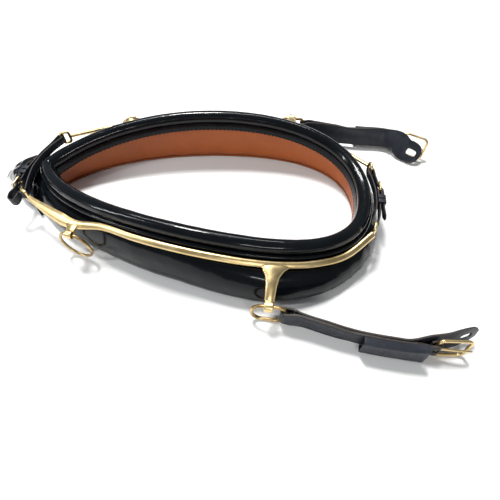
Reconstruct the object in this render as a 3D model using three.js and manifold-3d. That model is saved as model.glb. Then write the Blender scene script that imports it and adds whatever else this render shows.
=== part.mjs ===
// Driving-harness collar lying front edge up: stuffed patent-leather collar with a tan neck
// lining, a pair of brass hames with terret and draft rings, two hame tugs with box loop and
// buckle, and the two straps that buckle the hames together.
// Millimetres. +X runs from the cap to the throat, -Y is the horse's right side, +Z is the front.

import * as THREE from 'three';
import { mergeVertices } from 'three/addons/utils/BufferGeometryUtils.js';
import Module from 'manifold-3d';

const wasm = await Module();
wasm.setup();

// ---------------------------------------------------------------- driving dimensions

const ORIGIN = new THREE.Vector3(-22, 13.155, 0); // design frame to bottom centre of the whole part
const GAP = 0.3; // clearance between touching pieces

const THROAT_X = 280; // rim centre line, in plan
const TOP_X = -292;
const WIDE_X = 82;
const HALF_WIDTH = 146;
const THROAT_PULL = 104; // lengths of the rim curve's handles
const WIDE_PULL_THROAT = 114;
const WIDE_PULL_TOP = 145;
const TOP_HANDLE = new THREE.Vector2(60, 95);
const RIM_HEIGHT = 83; // rim centre above the floor at mid length
const RIM_TILT = 2;
const RIM_DROP = 34; // both ends of the rim lie this much lower
const MITRE_START = 0.9; // where the sections begin to lean over to the joint at the top
const LOOP_STATIONS = 21; // lengthwise steps in each half of the collar

const ROLL_RADIUS = 11.5;
const ROLL_RISE = 6;
const ROLL_LEATHER = 2.2;
const BEAD_RADIUS = 3.6;
const BEAD_OFFSET = [12.6, -3.2];
const COVER_LEATHER = 2.4;
const LINING_LEATHER = 2.8;
const BODY_TOP = -13; // top of the stuffed body, from the rim centre
// outward bulge of the body: [x, bulge]
const BULGE = [[-300, 40], [-230, 41], [-129, 35], [0, 40], [63, 48], [127, 56], [200, 50], [250, 40],
  [285, 31]];

const HAME_OUT = 23; // hame bar from the rim centre line
const HAME_DOWN = -8;
const HAME_BAR = [5.6, 4]; // half width and half thickness of the half-round bar
const EYE_WIRE = 2.6;

const TERRET_RADIUS = 27.5; // wire centre line
const TERRET_WIRE = 2.4;
const TERRET_PIVOT = [-180, 151, 61];
const TERRET_AXIS = [0.981, 0.195, 0];
const TERRET_HANG = [0, 0, -1];

const LINK_WIRE = 2.75;
const LINK_X = [116.75, 165.25]; // wire centre line of the draft link
const LINK_Z = [3.1, 43.8];
const LINK_CORNERS = [17, 9];
const LINK_Y = 222;
const DRAFT_ARM_X = 141;

const TUG_LAYER = 3.4;
const STRAP_WIDTH = 16;
const STRAP_THIN = 2.2;

// ---------------------------------------------------------------- materials

const surface = (color, roughness, metalness) =>
  new THREE.MeshStandardMaterial({ color, roughness, metalness });
const PATENT = surface(0x07090c, 0.12, 0);
const TAN = surface(0xb4561f, 0.5, 0);
const STRAW = surface(0xb89a55, 0.95, 0);
const BRASS = surface(0xb88f3d, 0.25, 1);
const HARNESS = surface(0x14171f, 0.5, 0);

// ---------------------------------------------------------------- geometry helpers

const vec = (x, y, z) => new THREE.Vector3(x, y, z);
const collar = new THREE.Group();
collar.position.copy(ORIGIN);

function part(name, geometry, material) {
  const mesh = new THREE.Mesh(geometry, material);
  mesh.name = name;
  collar.add(mesh);
  return mesh;
}

function signedVolume(positions, index) {
  const [a, b, c] = [vec(), vec(), vec()];
  let sum = 0;
  for (let i = 0; i < index.length; i += 3) {
    a.fromArray(positions, index[i] * 3);
    b.fromArray(positions, index[i + 1] * 3);
    c.fromArray(positions, index[i + 2] * 3);
    sum += a.dot(b.cross(c));
  }
  return sum;
}

function geometryFrom(positions, index) {
  if (signedVolume(positions, index) < 0) index.reverse();
  const geometry = new THREE.BufferGeometry();
  geometry.setAttribute('position', new THREE.Float32BufferAttribute(positions, 3));
  geometry.setIndex(index);
  geometry.computeVertexNormals();
  return geometry;
}

// Skin through rings of points; either a closed loop, or two end caps fanned about their middles.
function loft(rings, closed = false) {
  const count = rings[0].length;
  const positions = rings.flat().flatMap((p) => [p.x, p.y, p.z]);
  const index = [];
  const spans = closed ? rings.length : rings.length - 1;
  for (let i = 0; i < spans; i++) {
    const near = i * count;
    const far = ((i + 1) % rings.length) * count;
    for (let j = 0; j < count; j++) {
      const next = (j + 1) % count;
      index.push(near + j, near + next, far + next, near + j, far + next, far + j);
    }
  }
  if (!closed) {
    for (const [ring, flip] of [[0, true], [rings.length - 1, false]]) {
      const middle = rings[ring].reduce((sum, p) => sum.add(p), vec(0, 0, 0)).divideScalar(count);
      const centre = positions.length / 3;
      positions.push(middle.x, middle.y, middle.z);
      for (let j = 0; j < count; j++) {
        const a = ring * count + j;
        const b = ring * count + ((j + 1) % count);
        index.push(...(flip ? [centre, b, a] : [centre, a, b]));
      }
    }
  }
  return geometryFrom(positions, index);
}

function toSolid(geometry) {
  const clean = geometry.index ? geometry.toNonIndexed() : geometry.clone();
  clean.deleteAttribute('normal');
  clean.deleteAttribute('uv');
  const merged = mergeVertices(clean, 1e-4);
  return new wasm.Manifold(new wasm.Mesh({
    numProp: 3,
    vertProperties: new Float32Array(merged.attributes.position.array),
    triVerts: new Uint32Array(merged.index.array),
  }));
}

function toGeometry(solid) {
  const mesh = solid.getMesh();
  return geometryFrom(Array.from(mesh.vertProperties), Array.from(mesh.triVerts));
}

const join = (...shapes) => toGeometry(wasm.Manifold.union(shapes.map(toSolid)));
const cut = (shape, ...tools) => toGeometry(
  tools.reduce((solid, tool) => solid.subtract(toSolid(tool)), toSolid(shape)),
);

// Right-handed frame: x along `along`, z as near to `up` as it can be.
function frameOf(origin, along, up) {
  const x = along.clone().normalize();
  const y = up.clone().cross(x).normalize();
  const z = x.clone().cross(y);
  return new THREE.Matrix4().makeBasis(x, y, z).setPosition(origin);
}

// Copy of a geometry in a frame; a left-handed frame turns its faces over, so they are turned back.
function placed(geometry, matrix) {
  const copy = geometry.clone().applyMatrix4(matrix);
  if (matrix.determinant() < 0) copy.setIndex(Array.from(copy.index.array).reverse());
  return copy;
}

// Ring of points round an ellipse in a frame's YZ plane.
function ellipseRing(frame, halfY, halfZ, sides = 8) {
  return Array.from({ length: sides }, (_, i) => {
    const angle = (2 * Math.PI * (i + 0.5)) / sides;
    return vec(0, halfY * Math.cos(angle), halfZ * Math.sin(angle)).applyMatrix4(frame);
  });
}

const boxRing = (frame, halfY, halfZ) => [[1, 1], [-1, 1], [-1, -1], [1, -1]].map(
  ([y, z]) => vec(0, y * halfY, z * halfZ).applyMatrix4(frame),
);

// Bar swept along a curve. section(t) gives its half sizes, up(t) the direction of its thickness.
function bar(curve, steps, section, up, ring = ellipseRing) {
  const rings = [];
  for (let i = 0; i <= steps; i++) {
    const t = i / steps;
    rings.push(ring(frameOf(curve.getPointAt(t), curve.getTangentAt(t), up(t)), ...section(t)));
  }
  return loft(rings);
}

// Closed wire along a closed list of points in the XY plane of a frame.
function wireLoop(outline, frame, wire, sides = 8) {
  const rings = outline.map((point, i) => {
    const before = outline[(i + outline.length - 1) % outline.length];
    const after = outline[(i + 1) % outline.length];
    const along = after.clone().sub(before);
    const local = frameOf(vec(point.x, point.y, 0), vec(along.x, along.y, 0), vec(0, 0, 1));
    return ellipseRing(frame.clone().multiply(local), wire, wire, sides);
  });
  return loft(rings, true);
}

const circleOutline = (radius, steps) => Array.from({ length: steps }, (_, i) => {
  const angle = (2 * Math.PI * i) / steps;
  return new THREE.Vector2(radius * Math.cos(angle), radius * Math.sin(angle));
});

// Rounded rectangle about the origin; corner radii at -x and +x, with `steps` points a corner.
function roundedOutline(halfX, halfY, radii, steps) {
  const points = [];
  for (const [sx, sy, start] of [[1, 1, 0], [-1, 1, 90], [-1, -1, 180], [1, -1, 270]]) {
    const radius = sx > 0 ? radii[1] : radii[0];
    for (let i = 0; i <= steps; i++) {
      const angle = THREE.MathUtils.degToRad(start + (90 * i) / steps);
      points.push(new THREE.Vector2(
        sx * (halfX - radius) + radius * Math.cos(angle),
        sy * (halfY - radius) + radius * Math.sin(angle),
      ));
    }
  }
  return points;
}

// Tube with its axis on a frame's X axis.
function sleeve(frame, length, outer, inner, sides = 14) {
  const half = length / 2;
  const profile = [[inner, -half], [outer, -half], [outer, half], [inner, half], [inner, -half]]
    .map(([r, h]) => new THREE.Vector2(r, h));
  const turned = new THREE.LatheGeometry(profile, sides).rotateZ(-Math.PI / 2);
  return placed(turned, frame);
}

const rod = (frame, length, radius, sides = 10) => placed(
  new THREE.CylinderGeometry(radius, radius, length, sides).rotateZ(Math.PI / 2),
  frame,
);

function between(table, x) {
  const last = table.length - 1;
  const i = Math.min(Math.max(table.findIndex(([key]) => key > x), 1), last);
  if (x >= table[last][0]) return table[last][1];
  const [[x0, y0], [x1, y1]] = [table[i - 1], table[i]];
  return THREE.MathUtils.lerp(y0, y1, THREE.MathUtils.clamp((x - x0) / (x1 - x0), 0, 1));
}

// ---------------------------------------------------------------- collar rim

const halfRim = new THREE.CurvePath();
halfRim.add(new THREE.CubicBezierCurve(
  new THREE.Vector2(THROAT_X, 0),
  new THREE.Vector2(THROAT_X, THROAT_PULL),
  new THREE.Vector2(WIDE_X + WIDE_PULL_THROAT, HALF_WIDTH),
  new THREE.Vector2(WIDE_X, HALF_WIDTH),
));
halfRim.add(new THREE.CubicBezierCurve(
  new THREE.Vector2(WIDE_X, HALF_WIDTH),
  new THREE.Vector2(WIDE_X - WIDE_PULL_TOP, HALF_WIDTH),
  new THREE.Vector2(TOP_X + TOP_HANDLE.x, TOP_HANDLE.y),
  new THREE.Vector2(TOP_X, 0),
));

const rimHeight = (x) => RIM_HEIGHT - RIM_TILT * (x / THROAT_X) - RIM_DROP * (x / THROAT_X) ** 2;

// Place on the rim: t is 0 at the throat and 1 at the top; side is -1 right, 1 left.
// Returns the plan point, the outward direction (scaled for the mitre) and the rim height.
function rimAt(t, side) {
  const point = halfRim.getPointAt(t);
  const tangent = halfRim.getTangentAt(t);
  const outward = new THREE.Vector2(tangent.y, -tangent.x);
  const lean = THREE.MathUtils.smoothstep(t, MITRE_START, 1);
  const full = Math.atan2(outward.y, -outward.x);
  const turned = outward.clone().rotateAround(new THREE.Vector2(), full * lean);
  turned.divideScalar(turned.dot(outward));
  return { x: point.x, y: side * point.y, out: vec(turned.x, side * turned.y, 0), z: rimHeight(point.x) };
}

// Point u outward and at height z above the floor.
const onRim = (rim, u, z) => vec(rim.x + rim.out.x * u, rim.y + rim.out.y * u, z);

// Section carried round the whole collar; section(rim) lists [outward, height above floor].
function aroundCollar(section) {
  const rings = [];
  for (let i = 1; i <= 2 * LOOP_STATIONS; i++) {
    const s = i / LOOP_STATIONS - 1;
    const rim = rimAt(Math.abs(s), Math.sign(s) || 1);
    rings.push(section(rim).map(([u, z]) => onRim(rim, u, z)));
  }
  return loft(rings, true);
}

// Points moved inward (to the left of the walking direction) by a distance.
function inset(points, distance, closed) {
  return points.map(([u, z], i) => {
    const count = points.length;
    const before = points[closed ? (i + count - 1) % count : Math.max(i - 1, 0)];
    const after = points[closed ? (i + 1) % count : Math.min(i + 1, count - 1)];
    const first = new THREE.Vector2(u - before[0], z - before[1]).normalize();
    const second = new THREE.Vector2(after[0] - u, after[1] - z).normalize();
    const sum = first.clone().add(second).normalize();
    const reach = distance / Math.max(sum.dot(first.lengthSq() ? first : second), 0.6);
    return [u - sum.y * reach, z + sum.x * reach];
  });
}

// Outline of a leather skin of one thickness that follows an open line of points.
const skin = (points, thickness) => [...points, ...inset(points, thickness, false).reverse()];

// Stuffed body, walked from the top of the inner face down, under and up the outside.
function innerFace(rim) {
  const top = rim.z + BODY_TOP;
  return [[-10.6, top], [-11.2, 0.62 * top], [-11, 0.3 * top], [-9.4, 9], [-7.6, 6]];
}

function outerFace(rim) {
  const top = rim.z + BODY_TOP;
  const bulge = between(BULGE, rim.x);
  return [
    [-5.6, 3], [1, 0.7], [0.3 * bulge, 0], [0.62 * bulge, 0], [0.88 * bulge, 2.4], [bulge, 0.2 * top],
      [0.99 * bulge, 0.42 * top],
    [0.87 * bulge, 0.7 * top], [0.62 * bulge, 0.93 * top], [14.5, top - 2], [4, top],
  ];
}

const circleLine = (centre, radius, fromDeg, toDeg, steps) => Array.from({ length: steps + 1 }, (_, i) => {
  const angle = THREE.MathUtils.degToRad(fromDeg + ((toDeg - fromDeg) * i) / steps);
  return [centre[0] + radius * Math.cos(angle), centre[1] + radius * Math.sin(angle)];
});

function buildCollar() {
  const foot = BODY_TOP + GAP;
  part('forewale_roll', aroundCollar((rim) => skin([
    [6.8, rim.z + foot],
    ...circleLine([0, rim.z + ROLL_RISE], ROLL_RADIUS, -52, 222, 7),
    [-9.2, rim.z + foot],
  ], ROLL_LEATHER)), PATENT);
  part('forewale_straw_core', aroundCollar((rim) => (
    circleLine([0, rim.z + ROLL_RISE], ROLL_RADIUS - ROLL_LEATHER - 1, 0, 300, 5)
  )), STRAW);
  part('rim_bead', aroundCollar((rim) => (
    circleLine([BEAD_OFFSET[0], rim.z + BEAD_OFFSET[1]], BEAD_RADIUS, 0, 300, 5)
  )), PATENT);
  part('inner_band', aroundCollar((rim) => [
    [-11.4, rim.z - 0.4], [-11.4, rim.z + BODY_TOP + GAP], [-10.1, rim.z + BODY_TOP + GAP], [-10.1,
      rim.z - 0.4],
  ]), PATENT);
  part('neck_lining', aroundCollar((rim) => skin(innerFace(rim), LINING_LEATHER)), TAN);
  part('body_cover', aroundCollar((rim) => skin(outerFace(rim), COVER_LEATHER)), PATENT);
  part('straw_stuffing', aroundCollar((rim) => {
    const outline = [...innerFace(rim), ...outerFace(rim).slice(1)];
    return inset(outline, LINING_LEATHER + GAP + 0.3, true);
  }), STRAW);
}


// ---------------------------------------------------------------- cap over the top of the collar

// Cap stations from base to tip: [x at the middle, half width, height, how far the sides reach back].
const CAP_STATIONS = [
  [-315, 74, 42, 22], [-324, 62, 43, 14], [-335, 54, 51, 9], [-346, 45, 51, 6], [-358, 34, 46, 4],
  [-372, 22, 37, 1.5], [-386, 10, 25, 0],
];
const CAP_TIP = [-393, 4, 17, 0];
const CAP_LEATHER = 2.4;
const CAP_FLOOR = 0.8;

function capRing([x, halfWidth, height, reach], shrink, drop) {
  return Array.from({ length: 11 }, (_, i) => {
    const angle = (Math.PI * i) / 10;
    const across = Math.sign(Math.cos(angle)) * Math.abs(Math.cos(angle)) ** 0.7;
    const rise = Math.sin(angle) ** 0.7;
    return vec(
      x + reach * across * across,
      (halfWidth - shrink) * across,
      rise > 0.01 ? CAP_FLOOR + (height - shrink - CAP_FLOOR) * rise : CAP_FLOOR - drop,
    );
  });
}

function buildCap() {
  const outer = loft([...CAP_STATIONS, CAP_TIP].map((station) => capRing(station, 0, 0)));
  const [first, ...rest] = CAP_STATIONS;
  const mouth = [first[0] + 12, first[1] + 6, first[2] + 3, first[3]];
  const inner = loft([mouth, first, ...rest.slice(0, -1)].map((station) => capRing(station, CAP_LEATHER,
    4)));
  part('collar_cap', cut(outer, inner), PATENT);
}

// ---------------------------------------------------------------- hames

const HAME_TOP = [[-184, 129, 60], [-222, 114, 58], [-256, 97.5, 57.1], [-283, 83, 57]];
const HAME_TOP_EYE = [-291.5, 78.3, 57];
const HAME_BOTTOM_EYE = [291.5, 70.5, 57];
const TOP_TOWARD = [-0.87, -0.49]; // in plan, from each eye's middle to its free end
const BOTTOM_TOWARD = [0.15, -0.989];
const EYE_HALF = [7.6, 11.2]; // wire centre line of an eye, half length and half height
const HAME_WIDTHS = [[0, 1], [0.72, 1], [0.8, 1.25], [0.86, 1.9], [0.93, 1.5], [1, 0.75]];

const mirrored = ([x, y, z], side) => vec(x, side * y, z);

function hameCurve(side) {
  const points = [mirrored([289.8, 80, 56.5], side)];
  for (const t of [0.17, 0.24, 0.31, 0.38, 0.46, 0.54, 0.62, 0.7]) {
    const rim = rimAt(t, side);
    const rise = THREE.MathUtils.lerp(0, 0, THREE.MathUtils.clamp((t - 0.17) / 0.14, 0, 1));
    points.push(onRim(rim, HAME_OUT, rim.z + HAME_DOWN + rise));
  }
  points.push(...HAME_TOP.map((p) => mirrored(p, side)));
  return new THREE.CatmullRomCurve3(points, false, 'centripetal');
}

// Upright eye at a hame's end, long side along the bar.
function hameEye(centre, toward) {
  const along = vec(toward.x, toward.y, 0).normalize();
  const frame = new THREE.Matrix4().makeBasis(along, vec(0, 0, 1), along.clone().cross(vec(0, 0, 1)));
  frame.setPosition(centre);
  return wireLoop(roundedOutline(...EYE_HALF, [5, 5], 2), frame, EYE_WIRE, 8);
}

function hameFrameAt(side, x) {
  const curve = hameCurve(side);
  let best = 0;
  for (let i = 0; i <= 400; i++) {
    if (Math.abs(curve.getPointAt(i / 400).x - x) < Math.abs(curve.getPointAt(best).x - x)) best = i / 400;
  }
  return { point: curve.getPointAt(best), along: curve.getTangentAt(best) };
}

// Plate lofted through stations [centre, half width along the bar, half thickness].
function lug(stations, along) {
  const curve = new THREE.CatmullRomCurve3(stations.map(([centre]) => centre));
  return loft(stations.map(([, halfWidth, halfThick], i) => {
    const t = i / (stations.length - 1);
    const frame = frameOf(curve.getPoint(t), curve.getTangent(t), curve.getTangent(t).cross(along));
    return ellipseRing(frame, halfWidth, halfThick, 8);
  }));
}

const terretFrame = (side) => {
  const axis = mirrored(TERRET_AXIS, side).normalize();
  const hang = mirrored(TERRET_HANG, side);
  hang.addScaledVector(axis, -hang.dot(axis)).normalize();
  return new THREE.Matrix4().makeBasis(axis, hang, axis.clone().cross(hang))
    .setPosition(mirrored(TERRET_PIVOT, side));
};

function buildHame(side, label) {
  const curve = hameCurve(side);
  const outUp = vec(0, side * 0.75, 0.66);
  const body = bar(curve, 34, (t) => [HAME_BAR[0] * between(HAME_WIDTHS, t), HAME_BAR[1]], () => outUp);
  const topEye = hameEye(mirrored(HAME_TOP_EYE, side), mirrored([...TOP_TOWARD, 0], side));
  const bottomEye = hameEye(mirrored(HAME_BOTTOM_EYE, side), mirrored([...BOTTOM_TOWARD, 0], side));

  const terret = terretFrame(side);
  const pivot = mirrored(TERRET_PIVOT, side);
  const root = hameFrameAt(side, -184);
  const terretLug = lug([
    [root.point, 13, 3.4],
    [root.point.clone().lerp(pivot, 0.35), 9, 3.2],
    [root.point.clone().lerp(pivot, 0.8), 6.5, 3.2],
  ], root.along);
  const terretBarrel = sleeve(terret, 12, 6.6, TERRET_WIRE + 1.2);

  const arm = hameFrameAt(side, DRAFT_ARM_X);
  const armRoute = [[0, 0], [18, -3], [38, -11], [49, -20], [52.5, -30]];
  const widths = [24, 12, 8, 7, 6.6];
  const out = vec(0, side, 0);
  const draftArm = lug(armRoute.map(([away, rise], i) => [
    vec(arm.point.x + (DRAFT_ARM_X - arm.point.x) * Math.min(i, 1), arm.point.y, arm.point.z)
      .addScaledVector(out, away).add(vec(0, 0, rise)),
    widths[i],
    i === 0 ? 3.6 : 4.4,
  ]), arm.along);
  const linkTop = vec(DRAFT_ARM_X, side * LINK_Y, LINK_Z[1]);
  const straight = frameOf(linkTop, vec(1, 0, 0), vec(0, 0, 1));
  const draftEye = rod(straight, 13.2, 8, 14);
  const draftHole = rod(straight, 40, LINK_WIRE + 0.7, 14);
  const clearTerret = rod(terret, 40, TERRET_WIRE + 1.2, 14);
  const solid = join(body, topEye, bottomEye, terretLug, terretBarrel, draftArm, draftEye);
  part(`${label}_hame`, cut(solid, draftHole, clearTerret), BRASS);

  const ringFrame = terret.clone().multiply(new THREE.Matrix4().makeTranslation(0, TERRET_RADIUS, 0));
  part(`${label}_terret_ring`, wireLoop(circleOutline(TERRET_RADIUS, 28), ringFrame, TERRET_WIRE, 7),
    BRASS);
  const halfX = (LINK_X[1] - LINK_X[0]) / 2;
  const halfZ = (LINK_Z[1] - LINK_Z[0]) / 2;
  const linkFrame = new THREE.Matrix4().makeBasis(vec(1, 0, 0), vec(0, 0, 1), vec(0, -1, 0))
    .setPosition((LINK_X[0] + LINK_X[1]) / 2, side * LINK_Y, (LINK_Z[0] + LINK_Z[1]) / 2);
  part(`${label}_draft_ring`, wireLoop(roundedOutline(halfX, halfZ, LINK_CORNERS, 4), linkFrame,
    LINK_WIRE, 7), BRASS);
}

// ---------------------------------------------------------------- leather straps

// Flat strap through points, `steps` from each point to the next. halfWidth(point, t) and
// widthDir(point) give its half width and the direction of its width.
function strap(points, steps, halfWidth, thickness, widthDir) {
  const curve = new THREE.CatmullRomCurve3(points, false, 'centripetal');
  const count = steps * (points.length - 1);
  const rings = [];
  for (let i = 0; i <= count; i++) {
    const t = i / count;
    const point = curve.getPoint(t);
    const along = curve.getTangent(t);
    rings.push(boxRing(frameOf(point, along, along.clone().cross(widthDir(point))), halfWidth(point, t),
      thickness / 2));
  }
  return loft(rings);
}

const upright = () => vec(0, 0, 1);
const box = (frame, [x0, x1], [y0, y1], [z0, z1]) => placed(
  new THREE.BoxGeometry(x1 - x0, y1 - y0, z1 - z0).translate((x0 + x1) / 2, (y0 + y1) / 2, (z0 + z1) / 2),
  frame,
);

// Small strap buckle in its own frame: origin on the bar, X to the front bar, Y along the bar,
// Z to the side where the free end comes out.
const BUCKLE_WIRE = 1.7;
const BUCKLE_LENGTH = 20;
const BUCKLE_HALF_HEIGHT = 9.6;
const WRAP_RADIUS = BUCKLE_WIRE + GAP + STRAP_THIN / 2;

function smallBuckle(name, frame) {
  const half = BUCKLE_LENGTH / 2;
  const middle = frame.clone().multiply(new THREE.Matrix4().makeTranslation(half, 0, 0));
  const outline = roundedOutline(half, BUCKLE_HALF_HEIGHT, [2, 4], 2);
  part(`${name}_buckle`, wireLoop(outline, middle, BUCKLE_WIRE, 6), BRASS);
  const root = frame.clone().multiply(new THREE.Matrix4().makeRotationZ(Math.PI / 2));
  const eye = sleeve(root, 3, BUCKLE_WIRE + 1.7, BUCKLE_WIRE + GAP, 12);
  const from = vec(2.6, 0, 0.8).applyMatrix4(frame);
  const to = vec(BUCKLE_LENGTH + 2, 0, BUCKLE_WIRE + 1.6).applyMatrix4(frame);
  const prong = bar(new THREE.LineCurve3(from, to), 1, (t) => [1.3 - 0.4 * t, 1.2], () => vec(0, 0, 1),
    ellipseRing);
  part(`${name}_tongue`, join(eye, prong), BRASS);
}

// Path of the folded end round the bar, from its short flap to the long run; then the free end
// on its way in under the front bar and out over the folded end.
const foldedEnd = (frame) => [
  [-10, 2.9], [-3, 3.1], [0, WRAP_RADIUS], [2.2, 2.2], [WRAP_RADIUS, 0], [2.2, -2.2], [0, -WRAP_RADIUS],
    [-4, -3], [-12, -2.2],
].map(([x, z]) => vec(x, 0, z).applyMatrix4(frame));
const freeEnd = (frame) => [
  [BUCKLE_LENGTH + 3, -3.2], [BUCKLE_LENGTH - 2, -3], [10, 0.8], [3, 4.9], [-4, 5.8], [-12, 5.6],
].map(([x, z]) => vec(x, 0, z).applyMatrix4(frame));
const tongueSlot = (frame) => box(frame, [-4.2, 17], [-2, 2], [-4.4, 4.4]);

// Strap points round the free end of a hame eye, from its outer side to the collar side; the
// half turn begins `early` degrees before the eye's outer face.
function roundEye(centre, [tx, ty], side, z, early) {
  const out = centre[0] > 0 ? [-ty, tx] : [ty, -tx];
  const radius = EYE_WIRE + 2 * GAP + STRAP_THIN / 2 + 0.3;
  return [0, 45, 90, 135, 180].map((degrees) => {
    const angle = THREE.MathUtils.degToRad(degrees - early);
    const [c, s] = [radius * Math.cos(angle), radius * Math.sin(angle)];
    return mirrored([
      centre[0] + tx * EYE_HALF[0] + c * out[0] - s * tx,
      centre[1] + ty * EYE_HALF[0] + c * out[1] - s * ty,
      z,
    ], side);
  });
}

// Square leather keeper round the strap layers between two depths of a buckle frame.
function keeper(name, frame, at, [low, high]) {
  const wide = STRAP_WIDTH / 2 + 1.4;
  const here = frame.clone().multiply(new THREE.Matrix4().makeTranslation(at, 0, (low + high) / 2));
  const turned = here.multiply(new THREE.Matrix4().makeBasis(vec(0, 1, 0), vec(0, 0, 1), vec(1, 0, 0)));
  const outer = box(turned, [-wide, wide], [(low - high) / 2, (high - low) / 2], [-4, 4]);
  const inner = box(
    turned,
    [1.2 - wide, wide - 1.2],
    [(low - high) / 2 + 1.2, (high - low) / 2 - 1.2],
    [-6, 6],
  );
  part(name, cut(outer, inner), HARNESS);
}

function buildBottomStrap() {
  const frame = new THREE.Matrix4().makeBasis(vec(0, 1, 0), vec(0, 0, -1), vec(-1, 0, 0))
    .multiply(new THREE.Matrix4().makeRotationX(Math.PI)).setPosition(306.5, 18, 52);
  const points = [
    ...foldedEnd(frame), vec(305.2, -14, 51), vec(303, -40, 53), vec(299, -55, 56),
    ...roundEye(HAME_BOTTOM_EYE, BOTTOM_TOWARD, -1, 57, 8), vec(294.3, -40, 55), vec(298.8, -18, 53),
      vec(299.4, 0, 52.5),
    vec(298.8, 18, 53), vec(294.3, 40, 55), ...roundEye(HAME_BOTTOM_EYE, BOTTOM_TOWARD, 1, 57, 8).reverse(),
    vec(300.5, 50, 54),
    ...freeEnd(frame), vec(311.6, -9, 51.7), vec(312, -26, 51), vec(314.5, -38, 47),
  ];
  const whole = strap(points, 2, () => STRAP_WIDTH / 2 - 1, STRAP_THIN, upright);
  part('bottom_hame_strap', cut(whole, tongueSlot(frame)), HARNESS);
  smallBuckle('bottom_strap', frame);
  keeper('bottom_strap_fixed_keeper', frame, -16, [-4.9, 8.4]);
  keeper('bottom_strap_running_keeper', frame, -26, [-4.9, 8.4]);
}

function buildTopStrap() {
  const frame = new THREE.Matrix4().makeBasis(vec(0, -1, 0), vec(0, 0, 1), vec(-1, 0,
    0)).setPosition(-319, -46, 56);
  const points = [
    ...foldedEnd(frame), vec(-316.9, -16, 56.5), vec(-315.6, 2, 56.5), vec(-312.5, 25, 57), vec(-307, 50,
      57),
    ...roundEye(HAME_TOP_EYE, TOP_TOWARD, 1, 57, 45), vec(-303, 45, 57), vec(-310.2, 14, 56.5),
    vec(-310.4, 0, 56.5), vec(-310.2, -14, 56.5), vec(-303, -45, 57), ...roundEye(HAME_TOP_EYE,
      TOP_TOWARD, -1, 57, 25).reverse(),
    vec(-305, -85, 54), vec(-311, -90, 49), vec(-320, -88, 49), vec(-321, -79, 53),
    ...freeEnd(frame), vec(-324.6, -16, 56), vec(-323.4, 4, 56),
  ];
  const whole = strap(points, 2, () => STRAP_WIDTH / 2 - 1, STRAP_THIN, upright);
  part('top_hame_strap', cut(whole, tongueSlot(frame)), HARNESS);
  smallBuckle('top_strap', frame);
  keeper('top_strap_fixed_keeper', frame, -16, [-4.9, 8.4]);
  keeper('top_strap_running_keeper', frame, -26, [-4.9, 8.4]);
}

// ---------------------------------------------------------------- hame tugs

// Middle line of each tug from the draft ring to its tip, and how far its top edge leans out.
const TUG_ROUTES = {
  right: {
    side: -1,
    route: [[165.25, 222, 23.5], [200, 227, 23], [240, 235, 22.5], [275, 240, 22.5], [320, 242.5, 22.5],
      [362, 242, 22.8],
      [390, 239, 23], [440, 233, 23]],
    lean: [[165, 0], [190, 4], [330, 3], [400, -10]],
    safe: [[392, 228, 22.8], [410, 221, 22.8], [436, 209, 22.8]],
  },
  left: {
    side: 1,
    route: [[165.25, 222, 23.5], [200, 217, 23.5], [245, 209, 24], [290, 208.5, 24], [330, 211, 24],
      [358, 207, 24],
      [410, 186, 22]],
    lean: [[165, 0], [245, 16], [330, 28], [370, 34], [408, 56]],
    safe: [[376, 186, 20.5], [390, 179.5, 17.5], [407, 171, 15.5]],
  },
};
// Half widths: of the front layer against X, of the back layer against its own length.
const TUG_WIDTHS = [[155, 14], [175, 14], [184, 16], [198, 19], [235, 19], [258, 16.5], [285, 18], [345,
  16], [366, 12]];
const SAFE_WIDTHS = [[0, 17], [0.1, 18.5], [0.28, 16], [0.6, 18.5], [0.76, 19], [0.86, 22.5], [0.92, 22],
  [0.965, 18],
  [0.99, 12], [1, 6]];
const TUG_RUN = [34, 58, 82, 106, 130, 154, 174]; // where both layers lie together
const TUG_BUCKLE_AT = 212; // buckle bar, along the tug from the draft ring wire
const TUG_BUCKLE_WIRE = 2.3;
const TUG_BUCKLE_LENGTH = 44;
const TUG_BUCKLE_HALF = 20;
const BOX_LOOP = { from: 112, to: 196, depth: 12, wall: 2, half: 18 };
const RING_FOLD = LINK_WIRE + 1.1 + TUG_LAYER / 2;
const BAR_FOLD = TUG_BUCKLE_WIRE + 2 * GAP + TUG_LAYER / 2;
const SAFE_SLOT = [[-7, 12], [-6.5, 6.5]]; // from the middle of the round end

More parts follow.
